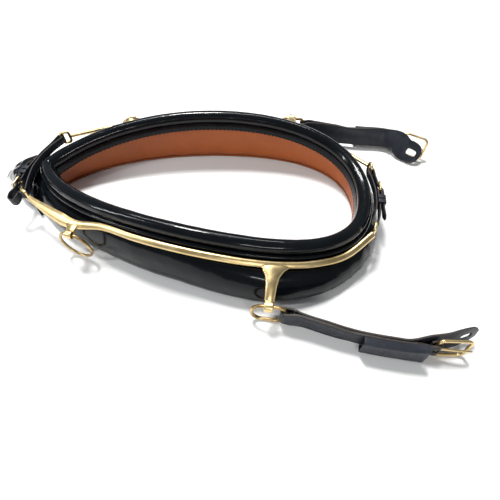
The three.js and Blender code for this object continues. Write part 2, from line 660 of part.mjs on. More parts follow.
function buildTug(label) {
  const { side, route, lean, safe } = TUG_ROUTES[label];
  const curve = new THREE.CatmullRomCurve3(route.map((p) => mirrored(p, side)));
  const total = curve.getLength();
  const [start, end] = [curve.getPoint(0).x, curve.getPoint(1).x];
  // Direction of the tug's width near a point, square to its run.
  const widthDir = (point) => {
    const angle = THREE.MathUtils.degToRad(between(lean, point.x));
    const run = curve.getTangentAt(THREE.MathUtils.clamp((point.x - start) / (end - start), 0, 1));
    const across = vec(0, side * Math.sin(angle), Math.cos(angle));
    return across.addScaledVector(run, -across.dot(run)).normalize();
  };
  // Frame at a distance along the tug: X onward, Y across its width, Z to its outer face.
  const tugFrame = (along) => {
    const t = THREE.MathUtils.clamp(along / total, 0, 1);
    const point = curve.getPointAt(t);
    const x = curve.getTangentAt(t);
    const out = x.clone().cross(widthDir(point)).multiplyScalar(-side).normalize();
    return new THREE.Matrix4().makeBasis(x, out.clone().cross(x).multiplyScalar(-side), out)
      .setPosition(point.addScaledVector(x, along - t * total));
  };
  const bar0 = TUG_BUCKLE_AT;
  const bar0Frame = tugFrame(bar0);
  const at = ([along, out]) => (along > bar0 - 9
    ? vec(along - bar0, 0, out).applyMatrix4(bar0Frame)
    : vec(0, 0, out).applyMatrix4(tugFrame(along)));

  const layerOut = TUG_LAYER / 2 + GAP;
  const front = [
    [13, -4.6], [4, -5.3], [0, -RING_FOLD], [-3.9, -3.9], [-RING_FOLD, 0], [-3.9, 3.9], [0, RING_FOLD],
      [6, 5], [20, 2.4],
    ...TUG_RUN.map((along) => [along, layerOut]), [188, layerOut], [203, 3.4], [bar0, BAR_FOLD],
    [bar0 + 3.1, 3.1], [bar0 + BAR_FOLD + 0.1, 0], [bar0 + 3.1, -3.1], [bar0, -BAR_FOLD], [bar0 - 8, -2.6],
  ];
  const frontLayer = strap(front.map(at), 2, (point) => between(TUG_WIDTHS, point.x), TUG_LAYER, widthDir);
  const slit = box(bar0Frame, [-6, 9], [-2.7, 2.7], [-8, 8]);
  part(`${label}_tug_strap`, cut(frontLayer, slit), HARNESS);

  // Back layer: runs under the buckle and ends in a round tip with a slot.
  const backIn = -(TUG_LAYER / 2 + 0.2);
  const tip = safe.map((p) => mirrored(p, side));
  const backPoints = [...[...TUG_RUN.map((along) => [along, backIn]), [201, -8.2]].map(at), ...tip];
  const backLayer = strap(backPoints, 2, (point, t) => between(SAFE_WIDTHS, t), TUG_LAYER - 0.6, widthDir);
  const last = tip[tip.length - 1];
  const before = tip[tip.length - 2];
  const heading = last.clone().sub(before).normalize();
  const slotFrame = frameOf(last.clone().addScaledVector(heading, -21), heading,
    widthDir(last).cross(heading));
  const slot = box(slotFrame, ...SAFE_SLOT, [-12, 12]);
  part(`${label}_tug_safe`, cut(backLayer, slot), HARNESS);

  // Box loop standing on the outer face.
  const seat = layerOut + TUG_LAYER / 2 + 2 * GAP;
  const faces = { inner: seat, outer: seat + BOX_LOOP.depth };
  const boxRings = (low, high, half, extra) => [0, 1, 2, 3, 4].map((i) => {
    const frame = tugFrame(BOX_LOOP.from - extra + ((BOX_LOOP.to - BOX_LOOP.from + 2 * extra) * i) / 4);
    return [[-half, low], [half, low], [half, high], [-half, high]].map(([w, n]) => vec(0, w,
      n).applyMatrix4(frame));
  });
  const shell = loft(boxRings(faces.inner, faces.outer, BOX_LOOP.half, 0));
  const channel = loft(boxRings(faces.inner - 2, faces.outer - BOX_LOOP.wall,
    BOX_LOOP.half - BOX_LOOP.wall, 2));
  part(`${label}_tug_box_loop`, cut(shell, channel), HARNESS);

  const half = TUG_BUCKLE_LENGTH / 2;
  const middle = bar0Frame.clone().multiply(new THREE.Matrix4().makeTranslation(half, 0, 0));
  const outline = roundedOutline(half, TUG_BUCKLE_HALF, [4, 9], 3);
  part(`${label}_tug_buckle`, wireLoop(outline, middle, TUG_BUCKLE_WIRE, 7), BRASS);
  const root = bar0Frame.clone().multiply(new THREE.Matrix4().makeRotationZ(Math.PI / 2));
  const eye = sleeve(root, 4.6, TUG_BUCKLE_WIRE + 2.4, TUG_BUCKLE_WIRE + GAP, 12);
  const prong = bar(
    new THREE.LineCurve3(vec(3.6, 0, 1).applyMatrix4(bar0Frame), vec(TUG_BUCKLE_LENGTH + 4, 0,
      5).applyMatrix4(bar0Frame)),
    1,
    (t) => [2.1 - 0.6 * t, 2 - 0.4 * t],
    () => vec(0, 0, 1).transformDirection(bar0Frame),
  );
  part(`${label}_tug_tongue`, join(eye, prong), BRASS);
}

buildCollar();
buildCap();
buildHame(-1, 'right');
buildHame(1, 'left');
buildBottomStrap();
buildTopStrap();
buildTug('right');
buildTug('left');

export default collar;
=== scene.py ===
import math

import bmesh
import bpy
import numpy as np
from mathutils import Matrix, Vector, noise


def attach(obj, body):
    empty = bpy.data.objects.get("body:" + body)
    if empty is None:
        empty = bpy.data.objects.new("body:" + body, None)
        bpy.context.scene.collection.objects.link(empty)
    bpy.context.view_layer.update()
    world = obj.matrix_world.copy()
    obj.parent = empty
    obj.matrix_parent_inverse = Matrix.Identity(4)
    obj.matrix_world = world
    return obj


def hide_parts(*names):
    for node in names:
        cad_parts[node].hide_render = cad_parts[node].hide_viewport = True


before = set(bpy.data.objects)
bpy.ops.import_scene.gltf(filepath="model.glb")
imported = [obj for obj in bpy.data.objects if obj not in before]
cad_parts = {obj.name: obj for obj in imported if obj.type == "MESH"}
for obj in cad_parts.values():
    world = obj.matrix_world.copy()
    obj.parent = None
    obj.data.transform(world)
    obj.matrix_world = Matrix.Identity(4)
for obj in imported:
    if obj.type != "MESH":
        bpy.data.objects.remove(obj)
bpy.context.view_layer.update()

# Everything below is drawn in millimetres in the design frame of the CAD source, then moved by
# ORIGIN and turned into metres when a piece is made.
ORIGIN = Vector((-22, 13.155, 0))
MM = 0.001
GAP = 0.3
UP = Vector((0, 0, 1))

# --- small maths


def vec(x, y, z):
    return Vector((x, y, z))


def clamp(x):
    return max(0.0, min(1.0, x))


def ease(x, low, high):
    """Smooth step from 0 at low to 1 at high."""
    t = clamp((x - low) / (high - low))
    return t * t * (3 - 2 * t)


def between(table, x):
    """Straight-line reading of a table of [key, value] rows."""
    keys, values = zip(*table)
    return float(np.interp(x, keys, values))


def mirrored(p, side):
    return vec(p[0], side * p[1], p[2])


def grain(p, scale, seed=0.0):
    """Soft noise from -1 to 1 at a place in mm; scale is the size of its bumps in mm."""
    return noise.noise(Vector((p[0] / scale + seed, p[1] / scale - seed, p[2] / scale + 2 * seed)))


class Track:
    """A finely sampled line, read by its own length."""

    def __init__(self, points):
        self.points = np.array([tuple(p) for p in points], float)
        steps = np.linalg.norm(np.diff(self.points, axis=0), axis=1)
        self.reach = np.concatenate([[0.0], np.cumsum(steps)])
        self.length = self.reach[-1]

    def at(self, t):
        along = t * self.length
        return Vector([np.interp(along, self.reach, column) for column in self.points.T])

    def tangent(self, t):
        step = 0.5 / self.length
        return (self.at(min(t + step, 1.0)) - self.at(max(t - step, 0.0))).normalized()


def spline(points, steps):
    """Centripetal Catmull-Rom line through points: (place, direction) at each step."""
    rows = [Vector(p) for p in points]
    full = [2 * rows[0] - rows[1], *rows, 2 * rows[-1] - rows[-2]]
    made = []
    for i in range(1, len(full) - 2):
        p0, p1, p2, p3 = full[i - 1 : i + 3]
        d1 = max((p2 - p1).length ** 0.5, 1e-4)
        d0 = (p1 - p0).length ** 0.5
        d2 = (p3 - p2).length ** 0.5
        d0 = d0 if d0 > 1e-4 else d1
        d2 = d2 if d2 > 1e-4 else d1
        m1 = ((p1 - p0) / d0 - (p2 - p0) / (d0 + d1) + (p2 - p1) / d1) * d1
        m2 = ((p2 - p1) / d1 - (p3 - p1) / (d1 + d2) + (p3 - p2) / d2) * d1
        last = 1 if i == len(full) - 3 else 0
        for k in range(steps + last):
            t = k / steps
            place = (
                (2 * t**3 - 3 * t**2 + 1) * p1
                + (t**3 - 2 * t**2 + t) * m1
                + (3 * t**2 - 2 * t**3) * p2
                + (t**3 - t**2) * m2
            )
            way = (
                (6 * t**2 - 6 * t) * p1
                + (3 * t**2 - 4 * t + 1) * m1
                + (6 * t - 6 * t**2) * p2
                + (3 * t**2 - 2 * t) * m2
            )
            made.append((place, way.normalized()))
    return made


def basis(x, y, z, origin):
    """Frame with these axes at that place."""
    m = Matrix((x, y, z)).transposed().to_4x4()
    m.translation = origin
    return m


def frame_of(origin, along, up):
    """Right-handed frame: X along, Z as near to up as it can be."""
    x = along.normalized()
    y = up.cross(x).normalized()
    return basis(x, y, x.cross(y), origin)


def shifted(matrix, x, y=0.0, z=0.0):
    return matrix @ Matrix.Translation((x, y, z))


# --- materials


class Look:
    """One procedural material: a Principled shader and the nodes that feed it."""

    def __init__(self, name, **constants):
        self.material = bpy.data.materials.new(name)
        self.material.use_nodes = True
        self.tree = self.material.node_tree
        self.shader = self.tree.nodes["Principled BSDF"]
        self.place = self.tree.nodes.new("ShaderNodeTexCoord").outputs["Object"]
        self.normal = None
        for socket, value in constants.items():
            self.shader.inputs[socket.replace("_", " ")].default_value = value

    def link(self, out, into):
        self.tree.links.new(out, into)

    def noise(self, size_mm, detail=4.0, roughness=0.55, stretch=None):
        """Noise whose features are about size_mm across."""
        place = self.place
        if stretch:
            mapping = self.tree.nodes.new("ShaderNodeMapping")
            mapping.inputs["Scale"].default_value = stretch
            self.link(place, mapping.inputs["Vector"])
            place = mapping.outputs["Vector"]
        node = self.tree.nodes.new("ShaderNodeTexNoise")
        node.inputs["Scale"].default_value = 1 / (size_mm * MM)
        node.inputs["Detail"].default_value = detail
        node.inputs["Roughness"].default_value = roughness
        self.link(place, node.inputs["Vector"])
        return node.outputs["Fac"]

    def cells(self, size_mm, feature="F1"):
        node = self.tree.nodes.new("ShaderNodeTexVoronoi")
        node.feature = feature
        node.inputs["Scale"].default_value = 1 / (size_mm * MM)
        self.link(self.place, node.inputs["Vector"])
        return node.outputs["Distance"]

    def ramp(self, fac, stops):
        node = self.tree.nodes.new("ShaderNodeValToRGB")
        ends = node.color_ramp.elements
        while len(ends) < len(stops):
            ends.new(0.5)
        for end, (position, colour) in zip(ends, stops):
            end.position = position
            end.color = (*colour, 1)
        self.link(fac, node.inputs["Fac"])
        return node.outputs["Color"]

    def range(self, fac, low, high, from_low=0.0, from_high=1.0):
        node = self.tree.nodes.new("ShaderNodeMapRange")
        limits = {"From Min": from_low, "From Max": from_high, "To Min": low, "To Max": high}
        for socket, value in limits.items():
            node.inputs[socket].default_value = value
        self.link(fac, node.inputs["Value"])
        return node.outputs["Result"]

    def mix(self, fac, a, b):
        node = self.tree.nodes.new("ShaderNodeMix")
        node.data_type = "RGBA"
        self.link(fac, node.inputs["Factor"])
        for value, socket in ((a, node.inputs[6]), (b, node.inputs[7])):
            if isinstance(value, tuple):
                socket.default_value = (*value, 1)
            else:
                self.link(value, socket)
        return node.outputs[2]

    def axis(self, name):
        node = self.tree.nodes.new("ShaderNodeSeparateXYZ")
        self.link(self.place, node.inputs["Vector"])
        return node.outputs[name]

    def bump(self, height, strength, distance_mm):
        node = self.tree.nodes.new("ShaderNodeBump")
        node.inputs["Strength"].default_value = strength
        node.inputs["Distance"].default_value = distance_mm * MM
        self.link(height, node.inputs["Height"])
        if self.normal:
            self.link(self.normal, node.inputs["Normal"])
        self.normal = node.outputs["Normal"]

    def done(self, colour=None, roughness=None):
        if colour:
            self.link(colour, self.shader.inputs["Base Color"])
        if roughness:
            self.link(roughness, self.shader.inputs["Roughness"])
        if self.normal:
            self.link(self.normal, self.shader.inputs["Normal"])
            if self.shader.inputs["Coat Weight"].default_value:
                self.link(self.normal, self.shader.inputs["Coat Normal"])
        return self.material


def patent_leather(name, wave_mm, wave_depth, shine=0.45):
    """Lacquered leather: almost black, mirror coat, slow waves in the shine."""
    look = Look(name, Coat_Weight=shine, Coat_Roughness=0.03, Coat_IOR=1.38, IOR=1.2)
    mottle = look.noise(38)
    colour = look.ramp(mottle, [(0.3, (0.0022, 0.0030, 0.0042)), (0.75, (0.0045, 0.0065, 0.0085))])
    dust = look.range(look.noise(2.2, detail=6), 0.16, 0.30, 0.35, 0.75)
    look.bump(look.noise(wave_mm, detail=1.5), 0.5, wave_depth)
    look.bump(look.noise(1.1, detail=2), 0.12, 0.12)
    return look.done(colour, dust)


def tan_leather():
    """Neck lining: waxed orange tan leather, darker towards the top of the collar, with painted shade along
    its foot by the floor.
    """
    look = Look("tan_lining", Coat_Weight=0.08, Coat_Roughness=0.28, IOR=1.35)
    tans = [(0.3, (0.46, 0.105, 0.016)), (0.72, (0.64, 0.165, 0.028))]
    patches = look.ramp(look.noise(30, detail=6), tans)
    pores = look.cells(1.3)
    colour = look.mix(look.range(pores, 0.0, 0.35, 0.0, 0.6), (0.27, 0.065, 0.013), patches)
    colour = look.mix(look.range(look.noise(9, detail=6), 0.0, 0.4, 0.5, 0.8), colour, (0.30, 0.075, 0.016))
    # Darker towards the top of the collar.
    darker_to_top = look.range(look.axis("X"), 0.75, 0.0, -0.30, -0.05)
    colour = look.mix(darker_to_top, colour, (0.22, 0.060, 0.018))
    # Painted shade: the lining's lowest 16 mm, next to the floor, is darkened.
    painted_floor_shade = look.range(look.axis("Z"), 0.55, 0.0, 0.002, 0.016)
    colour = look.mix(painted_floor_shade, colour, (0.20, 0.055, 0.016))
    look.bump(look.noise(16, detail=3), 0.35, 0.9)
    look.bump(pores, 0.25, 0.25)
    return look.done(colour, look.range(look.noise(6), 0.40, 0.58, 0.3, 0.7))


def brass(name, tarnish):
    """Cast and polished brass with soft scratches; tarnish is how much brown is left on it."""
    look = Look(name, Metallic=1.0)
    clean = look.ramp(look.noise(30, detail=2), [(0.3, (0.70, 0.52, 0.24)), (0.7, (0.80, 0.62, 0.33))])
    least = 0.56 - 0.3 * tarnish
    brown = look.range(look.noise(16, detail=4, roughness=0.6), 0.0, tarnish, least, least + 0.3)
    colour = look.mix(brown, clean, (0.24, 0.145, 0.055))
    scratches = look.noise(0.5, detail=3, stretch=(0.12, 1.0, 1.0))
    look.bump(scratches, 0.05, 0.03)
    look.bump(look.noise(12, detail=1), 0.12, 0.25)
    return look.done(colour, look.range(look.noise(9, detail=3), 0.30, 0.44, 0.3, 0.75))


def bridle_leather(name, base, light):
    """Dressed strap leather with fine grain."""
    look = Look(name, Coat_Weight=0.06, Coat_Roughness=0.3, IOR=1.35)
    colour = look.ramp(look.noise(12, detail=7), [(0.3, base), (0.8, light)])
    creases = look.cells(1.6, "DISTANCE_TO_EDGE")
    look.bump(look.noise(0.8, detail=4), 0.30, 0.20)
    look.bump(look.range(creases, 0.0, 1.0, 0.0, 0.12), 0.22, 0.15)
    look.bump(look.noise(9, detail=2), 0.20, 0.5)
    return look.done(colour, look.range(look.noise(4, detail=5), 0.36, 0.56, 0.3, 0.7))


def cut_edge():
    """Burnished cut edge of a strap: layers of brown fibre."""
    look = Look("cut_edge")
    fibres = look.noise(0.9, detail=5, stretch=(0.2, 0.2, 2.0))
    colour = look.ramp(fibres, [(0.3, (0.016, 0.014, 0.014)), (0.7, (0.052, 0.040, 0.033))])
    look.bump(fibres, 0.4, 0.15)
    return look.done(colour, look.range(fibres, 0.5, 0.7))


def waxed_thread(name, colour):
    look = Look(name)
    twist = look.noise(0.35, detail=2)
    dark = tuple(0.5 * c for c in colour)
    look.bump(twist, 0.5, 0.08)
    return look.done(look.ramp(twist, [(0.35, dark), (0.7, colour)]), look.range(twist, 0.45, 0.7))


def straw():
    look = Look("straw_filling")
    stalks = look.noise(1.2, detail=5, stretch=(0.15, 1.0, 1.0))
    look.bump(stalks, 0.8, 0.6)
    colour = look.ramp(stalks, [(0.3, (0.22, 0.14, 0.05)), (0.7, (0.62, 0.46, 0.20))])
    return look.done(colour, look.range(stalks, 0.8, 0.95))


PATENT = patent_leather("patent_roll", 26, 1.2)
PATENT_BODY = patent_leather("patent_body", 40, 2.6, 0.32)
PATENT_CAP = patent_leather("patent_cap", 7, 1.6, 0.9)
PATENT_BAND = patent_leather("patent_band", 9, 0.6, 0.12)
TAN = tan_leather()
BRASS = brass("polished_brass", 0.30)
BRASS_OLD = brass("handled_brass", 0.9)
HARNESS = bridle_leather("bridle_black", (0.0085, 0.0105, 0.016), (0.019, 0.023, 0.034))
EDGE = cut_edge()
THREAD = waxed_thread("black_thread", (0.022, 0.024, 0.030))
STRAW = straw()

# --- making pieces


def piece(name, shells, materials, sharp_deg=38):
    """Mesh object from shells of (verts in mm, faces, material index of each face)."""
    verts, faces, slots = [], [], []
    for shell_verts, shell_faces, shell_slots in shells:
        start = len(verts)
        verts += [tuple((Vector(v) + ORIGIN) * MM) for v in shell_verts]
        faces += [[start + i for i in face] for face in shell_faces]
        slots += list(shell_slots) if shell_slots else [0] * len(shell_faces)
    mesh = bpy.data.meshes.new(name)
    mesh.from_pydata(verts, [], faces)
    for material in materials:
        mesh.materials.append(material)
    mesh.polygons.foreach_set("material_index", slots)
    bm = bmesh.new()
    bm.from_mesh(mesh)
    bmesh.ops.recalc_face_normals(bm, faces=bm.faces)
    bm.to_mesh(mesh)
    bm.free()
    finish_surface(mesh, sharp_deg)
    obj = bpy.data.objects.new(name, mesh)
    bpy.context.scene.collection.objects.link(obj)
    return obj


def finish_surface(mesh, sharp_deg=38):
    mesh.shade_smooth()
    mesh.set_sharp_from_angle(angle=math.radians(sharp_deg))
    mesh.update()


def stands_for(obj, body, slot, *nodes):
    """The piece rides on a body and replaces those CAD nodes; slot is not used."""
    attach(obj, body)
    if nodes:
        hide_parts(*nodes)
    return obj


def grid_faces(rings, count, closed_length):
    """Quads between neighbouring closed rings of count points."""
    faces = []
    for i in range(rings if closed_length else rings - 1):
        near, far = i * count, ((i + 1) % rings) * count
        for j in range(count):
            k = (j + 1) % count
            faces.append([near + j, near + k, far + k, far + j])
    return faces


def loft(rings, closed=False, slots=None):
    """Shell through closed rings; open lofts get flat ends. slots gives each ring side's material."""
    count = len(rings[0])
    verts = [p for ring in rings for p in ring]
    faces = grid_faces(len(rings), count, closed)
    marks = [slots[n % count] if slots else 0 for n in range(len(faces))]
    if not closed:
        faces += [list(range(count)), [len(verts) - count + j for j in range(count)]]
        marks += [0, 0]
    return verts, faces, marks


def hollow_strip(sections, closed=False, edge_slot=0):
    """Shell of a bent sheet: each section is (outer points, inner points), matched one to one."""
    rings = [[*outer, *reversed(inner)] for outer, inner in sections]
    half = len(sections[0][0])
    count = 2 * half
    verts = [p for ring in rings for p in ring]
    faces = grid_faces(len(rings), count, closed)
    rim_sides = (half - 1, count - 1)
    marks = [edge_slot if n % count in rim_sides else 0 for n in range(len(faces))]
    if not closed:
        for start in (0, (len(rings) - 1) * count):
            for j in range(half - 1):
                faces.append([start + j, start + j + 1, start + count - 2 - j, start + count - 1 - j])
                marks.append(edge_slot)
    return verts, faces, marks


def ellipse(matrix, half_y, half_z, sides):
    return [
        matrix @ vec(0, half_y * math.cos(a), half_z * math.sin(a))
        for a in (2 * math.pi * (i + 0.5) / sides for i in range(sides))
    ]


def rounded_outline(half_x, half_y, radii, steps):
    """Rounded rectangle about the origin; corner radii at -x and +x."""
    points = []
    for sx, sy, start in ((1, 1, 0), (-1, 1, 90), (-1, -1, 180), (1, -1, 270)):
        radius = radii[1] if sx > 0 else radii[0]
        for i in range(steps + 1):
            a = math.radians(start + 90 * i / steps)
            points.append((
                sx * (half_x - radius) + radius * math.cos(a),
                sy * (half_y - radius) + radius * math.sin(a),
            ))
    return points


def even(outline, spacing):
    """Closed outline with its long straight sides cut into shorter steps."""
    made = []
    for i, (x, y) in enumerate(outline):
        nx, ny = outline[(i + 1) % len(outline)]
        cuts = max(1, int(math.hypot(nx - x, ny - y) / spacing))
        made += [(x + (nx - x) * k / cuts, y + (ny - y) * k / cuts) for k in range(cuts)]
    return made


def wire_loop(outline, matrix, wire, sides=16):
    """Round wire bent along a closed outline in a frame's XY plane."""
    rings = []
    count = len(outline)
    for i, (x, y) in enumerate(outline):
        bx, by = outline[i - 1]
        ax, ay = outline[(i + 1) % count]
        local = frame_of(vec(x, y, 0), vec(ax - bx, ay - by, 0), UP)
        rings.append(ellipse(matrix @ local, wire, wire, sides))
    return loft(rings, closed=True)


def tube(matrix, length, outer, inner, sides=28, round_edge=0.6):
    """Short tube on a frame's X axis with softened ends."""
    half = length / 2
    e = round_edge
    profile = [
        (inner, -half + e), (inner + e, -half), (outer - e, -half), (outer, -half + e),
        (outer, half - e), (outer - e, half), (inner + e, half), (inner, half - e),
    ]
    rings = []
    for k in range(sides):
        a = 2 * math.pi * k / sides
        rings.append([matrix @ vec(h, r * math.cos(a), r * math.sin(a)) for r, h in profile])
    return loft(rings, closed=True)


def rod(matrix, length, radius, sides=28):
    turns = [2 * math.pi * k / sides for k in range(sides)]
    return loft([
        [matrix @ vec(h, radius * math.cos(a), radius * math.sin(a)) for a in turns]
        for h in (-length / 2, length / 2)
    ])


def box(matrix, xs, ys, zs):
    section = ((ys[0], zs[0]), (ys[1], zs[0]), (ys[1], zs[1]), (ys[0], zs[1]))
    return loft([[matrix @ vec(x, y, z) for y, z in section] for x in xs])


def carve(obj, *shells):
    """Cuts closed shells out of a piece."""
    for shell in shells:
        tool = piece("cutter", [shell], [])
        cutter = obj.modifiers.new("cut", "BOOLEAN")
        cutter.operation = "DIFFERENCE"
        cutter.solver = "EXACT"
        cutter.object = tool
        bake_modifiers(obj)
        bpy.data.objects.remove(tool)
    return obj


def bake_modifiers(obj):
    """Applies the piece's modifiers to its mesh."""
    graph = bpy.context.evaluated_depsgraph_get()
    old = obj.data
    obj.data = bpy.data.meshes.new_from_object(obj.evaluated_get(graph))
    obj.modifiers.clear()
    obj.data.name = obj.name
    bpy.data.meshes.remove(old)


def fuse(obj, voxel_mm, smooth_steps, keep=0.5):
    """Melts the piece's overlapping shells into one casting with soft fillets."""
    remesh = obj.modifiers.new("fuse", "REMESH")
    remesh.mode = "VOXEL"
    remesh.voxel_size = voxel_mm * MM
    melt = obj.modifiers.new("melt", "SMOOTH")
    melt.factor = 0.5
    melt.iterations = smooth_steps
    thin = obj.modifiers.new("thin", "DECIMATE")
    thin.ratio = keep
    bake_modifiers(obj)
    finish_surface(obj.data, 80)
    return obj


def push(obj, amount):
    """Moves each vertex along its normal by amount(place in mm, normal), in mm."""
    mesh = obj.data
    normals = [Vector(n.vector) for n in mesh.vertex_normals]
    for vertex, normal in zip(mesh.vertices, normals):
        place = vertex.co / MM - ORIGIN
        vertex.co += normal * (amount(place, normal) * MM)
    mesh.update()
    return obj


def capsule(centre, along, up, length, radius):
    """One stitch: a short thread lying along the leather, its ends going in."""
    local = frame_of(centre, along, up)
    half = length / 2
    rows = (
        (-half, 0.15, -0.7), (-0.72 * half, 0.85, -0.1), (0, 1.0, 0.12), (0.72 * half, 0.85, -0.1),
        (half, 0.15, -0.7),
    )
    return loft([
        ellipse(shifted(local, x, 0, radius * dip), radius * r, radius * r, 6) for x, r, dip in rows
    ])


def stitches(name, lines, body, slot, pitch, length, radius, material):
    """Rows of stitches along lines of (place, outward direction)."""
    shells = []
    for line in lines:
        track = Track([p for p, _ in line])
        ups = Track([p + 10 * up for p, up in line])
        count = int(track.length / pitch)
        for k in range(count):
            t = (k + 0.5) / count
            place = track.at(t)
            up = (ups.at(t) - place).normalized()
            shells.append(capsule(place + up * radius * 0.35, track.tangent(t), up, length, radius))
    return stands_for(piece(name, shells, [material], 70), body, slot)


# --- collar rim

THROAT_X, TOP_X, WIDE_X, HALF_WIDTH = 280, -292, 82, 146
WIDEST = (WIDE_X, HALF_WIDTH)
THROAT_PULL, WIDE_PULL_THROAT, WIDE_PULL_TOP = 104, 114, 145
TOP_HANDLE = (60, 95)
RIM_HEIGHT, RIM_TILT, RIM_DROP = 83, 2, 34
MITRE_START = 0.9
LOOP_STATIONS = 200
ROLL_RADIUS, ROLL_RISE, ROLL_LEATHER = 11.5, 6, 2.2
BEAD_RADIUS, BEAD_OFFSET = 3.6, (12.6, -3.2)
BODY_TOP = -13
COVER_LEATHER, LINING_LEATHER = 2.4, 2.8
BULGE = [(-300, 40), (-230, 41), (-129, 35), (0, 40), (63, 48), (127, 56), (200, 50), (250, 40), (285, 31)]


def bezier(a, b, c, d, steps=600):
    t = np.linspace(0, 1, steps + 1)[:, None]
    a, b, c, d = (np.array(p, float) for p in (a, b, c, d))
    return (1 - t) ** 3 * a + 3 * (1 - t) ** 2 * t * b + 3 * (1 - t) * t**2 * c + t**3 * d


HALF_RIM = Track(np.vstack([
    bezier((THROAT_X, 0), (THROAT_X, THROAT_PULL), (WIDE_X + WIDE_PULL_THROAT, HALF_WIDTH), WIDEST),
    bezier(WIDEST, (WIDE_X - WIDE_PULL_TOP, HALF_WIDTH), (TOP_X + TOP_HANDLE[0], TOP_HANDLE[1]),
        (TOP_X, 0))[1:],
]))


class Rim:
    """Place on the rim: t is 0 at the throat and 1 at the top; side is -1 right, 1 left."""

    def __init__(self, t, side):
        point, tangent = HALF_RIM.at(t), HALF_RIM.tangent(t)
        outward = Vector((tangent.y, -tangent.x))
        turn = math.atan2(outward.y, -outward.x) * ease(t, MITRE_START, 1)
        c, s = math.cos(turn), math.sin(turn)
        turned = Vector((outward.x * c - outward.y * s, outward.x * s + outward.y * c))
        turned /= turned.dot(outward)
        self.t, self.side = t, side
        self.x, self.y = point.x, side * point.y
        self.out = vec(turned.x, side * turned.y, 0)
        self.z = RIM_HEIGHT - RIM_TILT * (point.x / THROAT_X) - RIM_DROP * (point.x / THROAT_X) ** 2
        self.along = t * HALF_RIM.length

    def at(self, u, z):
        """Point u outward and at height z above the floor."""
        return vec(self.x + self.out.x * u, self.y + self.out.y * u, z)


def rim_stations(count=LOOP_STATIONS):
    made = []
    for i in range(1, 2 * count + 1):
        s = i / count - 1
        made.append(Rim(abs(s), -1 if s < 0 else 1))
    return made


RIMS = rim_stations()


def arc(centre, radius, from_deg, to_deg, steps):
    return [
        (centre[0] + radius * math.cos(a), centre[1] + radius * math.sin(a))
        for a in (math.radians(from_deg + (to_deg - from_deg) * i / steps) for i in range(steps + 1))
    ]


def offset(line, distance):
    """Open line of (u, z) points moved inward, to the left of its direction."""
    points = np.array(line, float)
    way = np.gradient(points, axis=0)
    way /= np.linalg.norm(way, axis=1)[:, None]
    return [(u - distance * wy, z + distance * wx) for (u, z), (wx, wy) in zip(line, way)]


def fair(line, steps):
    """Smooth curve through a line of (u, z) points."""
    return [(p.x, p.y) for p, _ in spline([vec(u, z, 0) for u, z in line], steps)]


def carried_skin(line_at, thickness):
    """Leather sheet carried round the collar; line_at(rim) is its visible side."""
    sections = []
    for rim in RIMS:
        line = line_at(rim)
        back = offset(line, thickness)
        sections.append(([rim.at(u, z) for u, z in line], [rim.at(u, z) for u, z in back]))
    return hollow_strip(sections, closed=True)


def roll_line(rim):
    """Forewale roll; near its ends at the top it tapers a little where it is sewn down."""
    foot = rim.z + BODY_TOP + GAP
    radius = ROLL_RADIUS * (1 - 0.05 * ease(rim.t, 0.93, 1))
    return [(6.8, foot), *arc((0, rim.z + ROLL_RISE), radius, -52, 222, 40), (-9.2, foot)]


def inner_line(rim):
    top = rim.z + BODY_TOP
    return fair([(-10.6, top), (-11.2, 0.62 * top), (-11, 0.3 * top), (-9.4, 9), (-7.6, 6)], 8)


def outer_line(rim):
    top = rim.z + BODY_TOP
    b = between(BULGE, rim.x)
    return fair([
        (-5.6, 3), (1, 0.7), (0.3 * b, 0.15), (0.62 * b, 0.15), (0.88 * b, 2.4), (b, 0.2 * top),
        (0.99 * b, 0.42 * top),
        (0.87 * b, 0.7 * top), (0.62 * b, 0.93 * top), (14.5, top - 2), (4, top),
    ], 6)


def skin_wrinkles(place, normal):
    """Shallow dents in the stuffed body, with tighter puckers round the throat and the top."""
    if normal.z < -0.5:
        return 0.0
    slow = 0.9 * grain(place, 46, 3.1) + 0.35 * grain(place, 17, 7.7)
    ends = max(ease(place.x, 215, 290), ease(-place.x, 225, 300))
    angle = math.atan2(place.y, place.x - (150 if place.x > 0 else -200))
    puckers = math.sin(angle * 34 + 2.4 * grain(place, 25, 1.3))
    low = 1 - 0.6 * ease(place.z, 12, 45)
    return 0.75 * slow + ends * low * 0.55 * puckers


def roll_waves(place, _normal):
    near_top = 0.25 * ease(-place.x, 215, 285) * grain(place, 6, 2.2)
    return 0.30 * grain(place, 34, 5.2) + 0.16 * grain(place, 12, 9.4) + near_top


SCALLOP_PITCH = 8.0


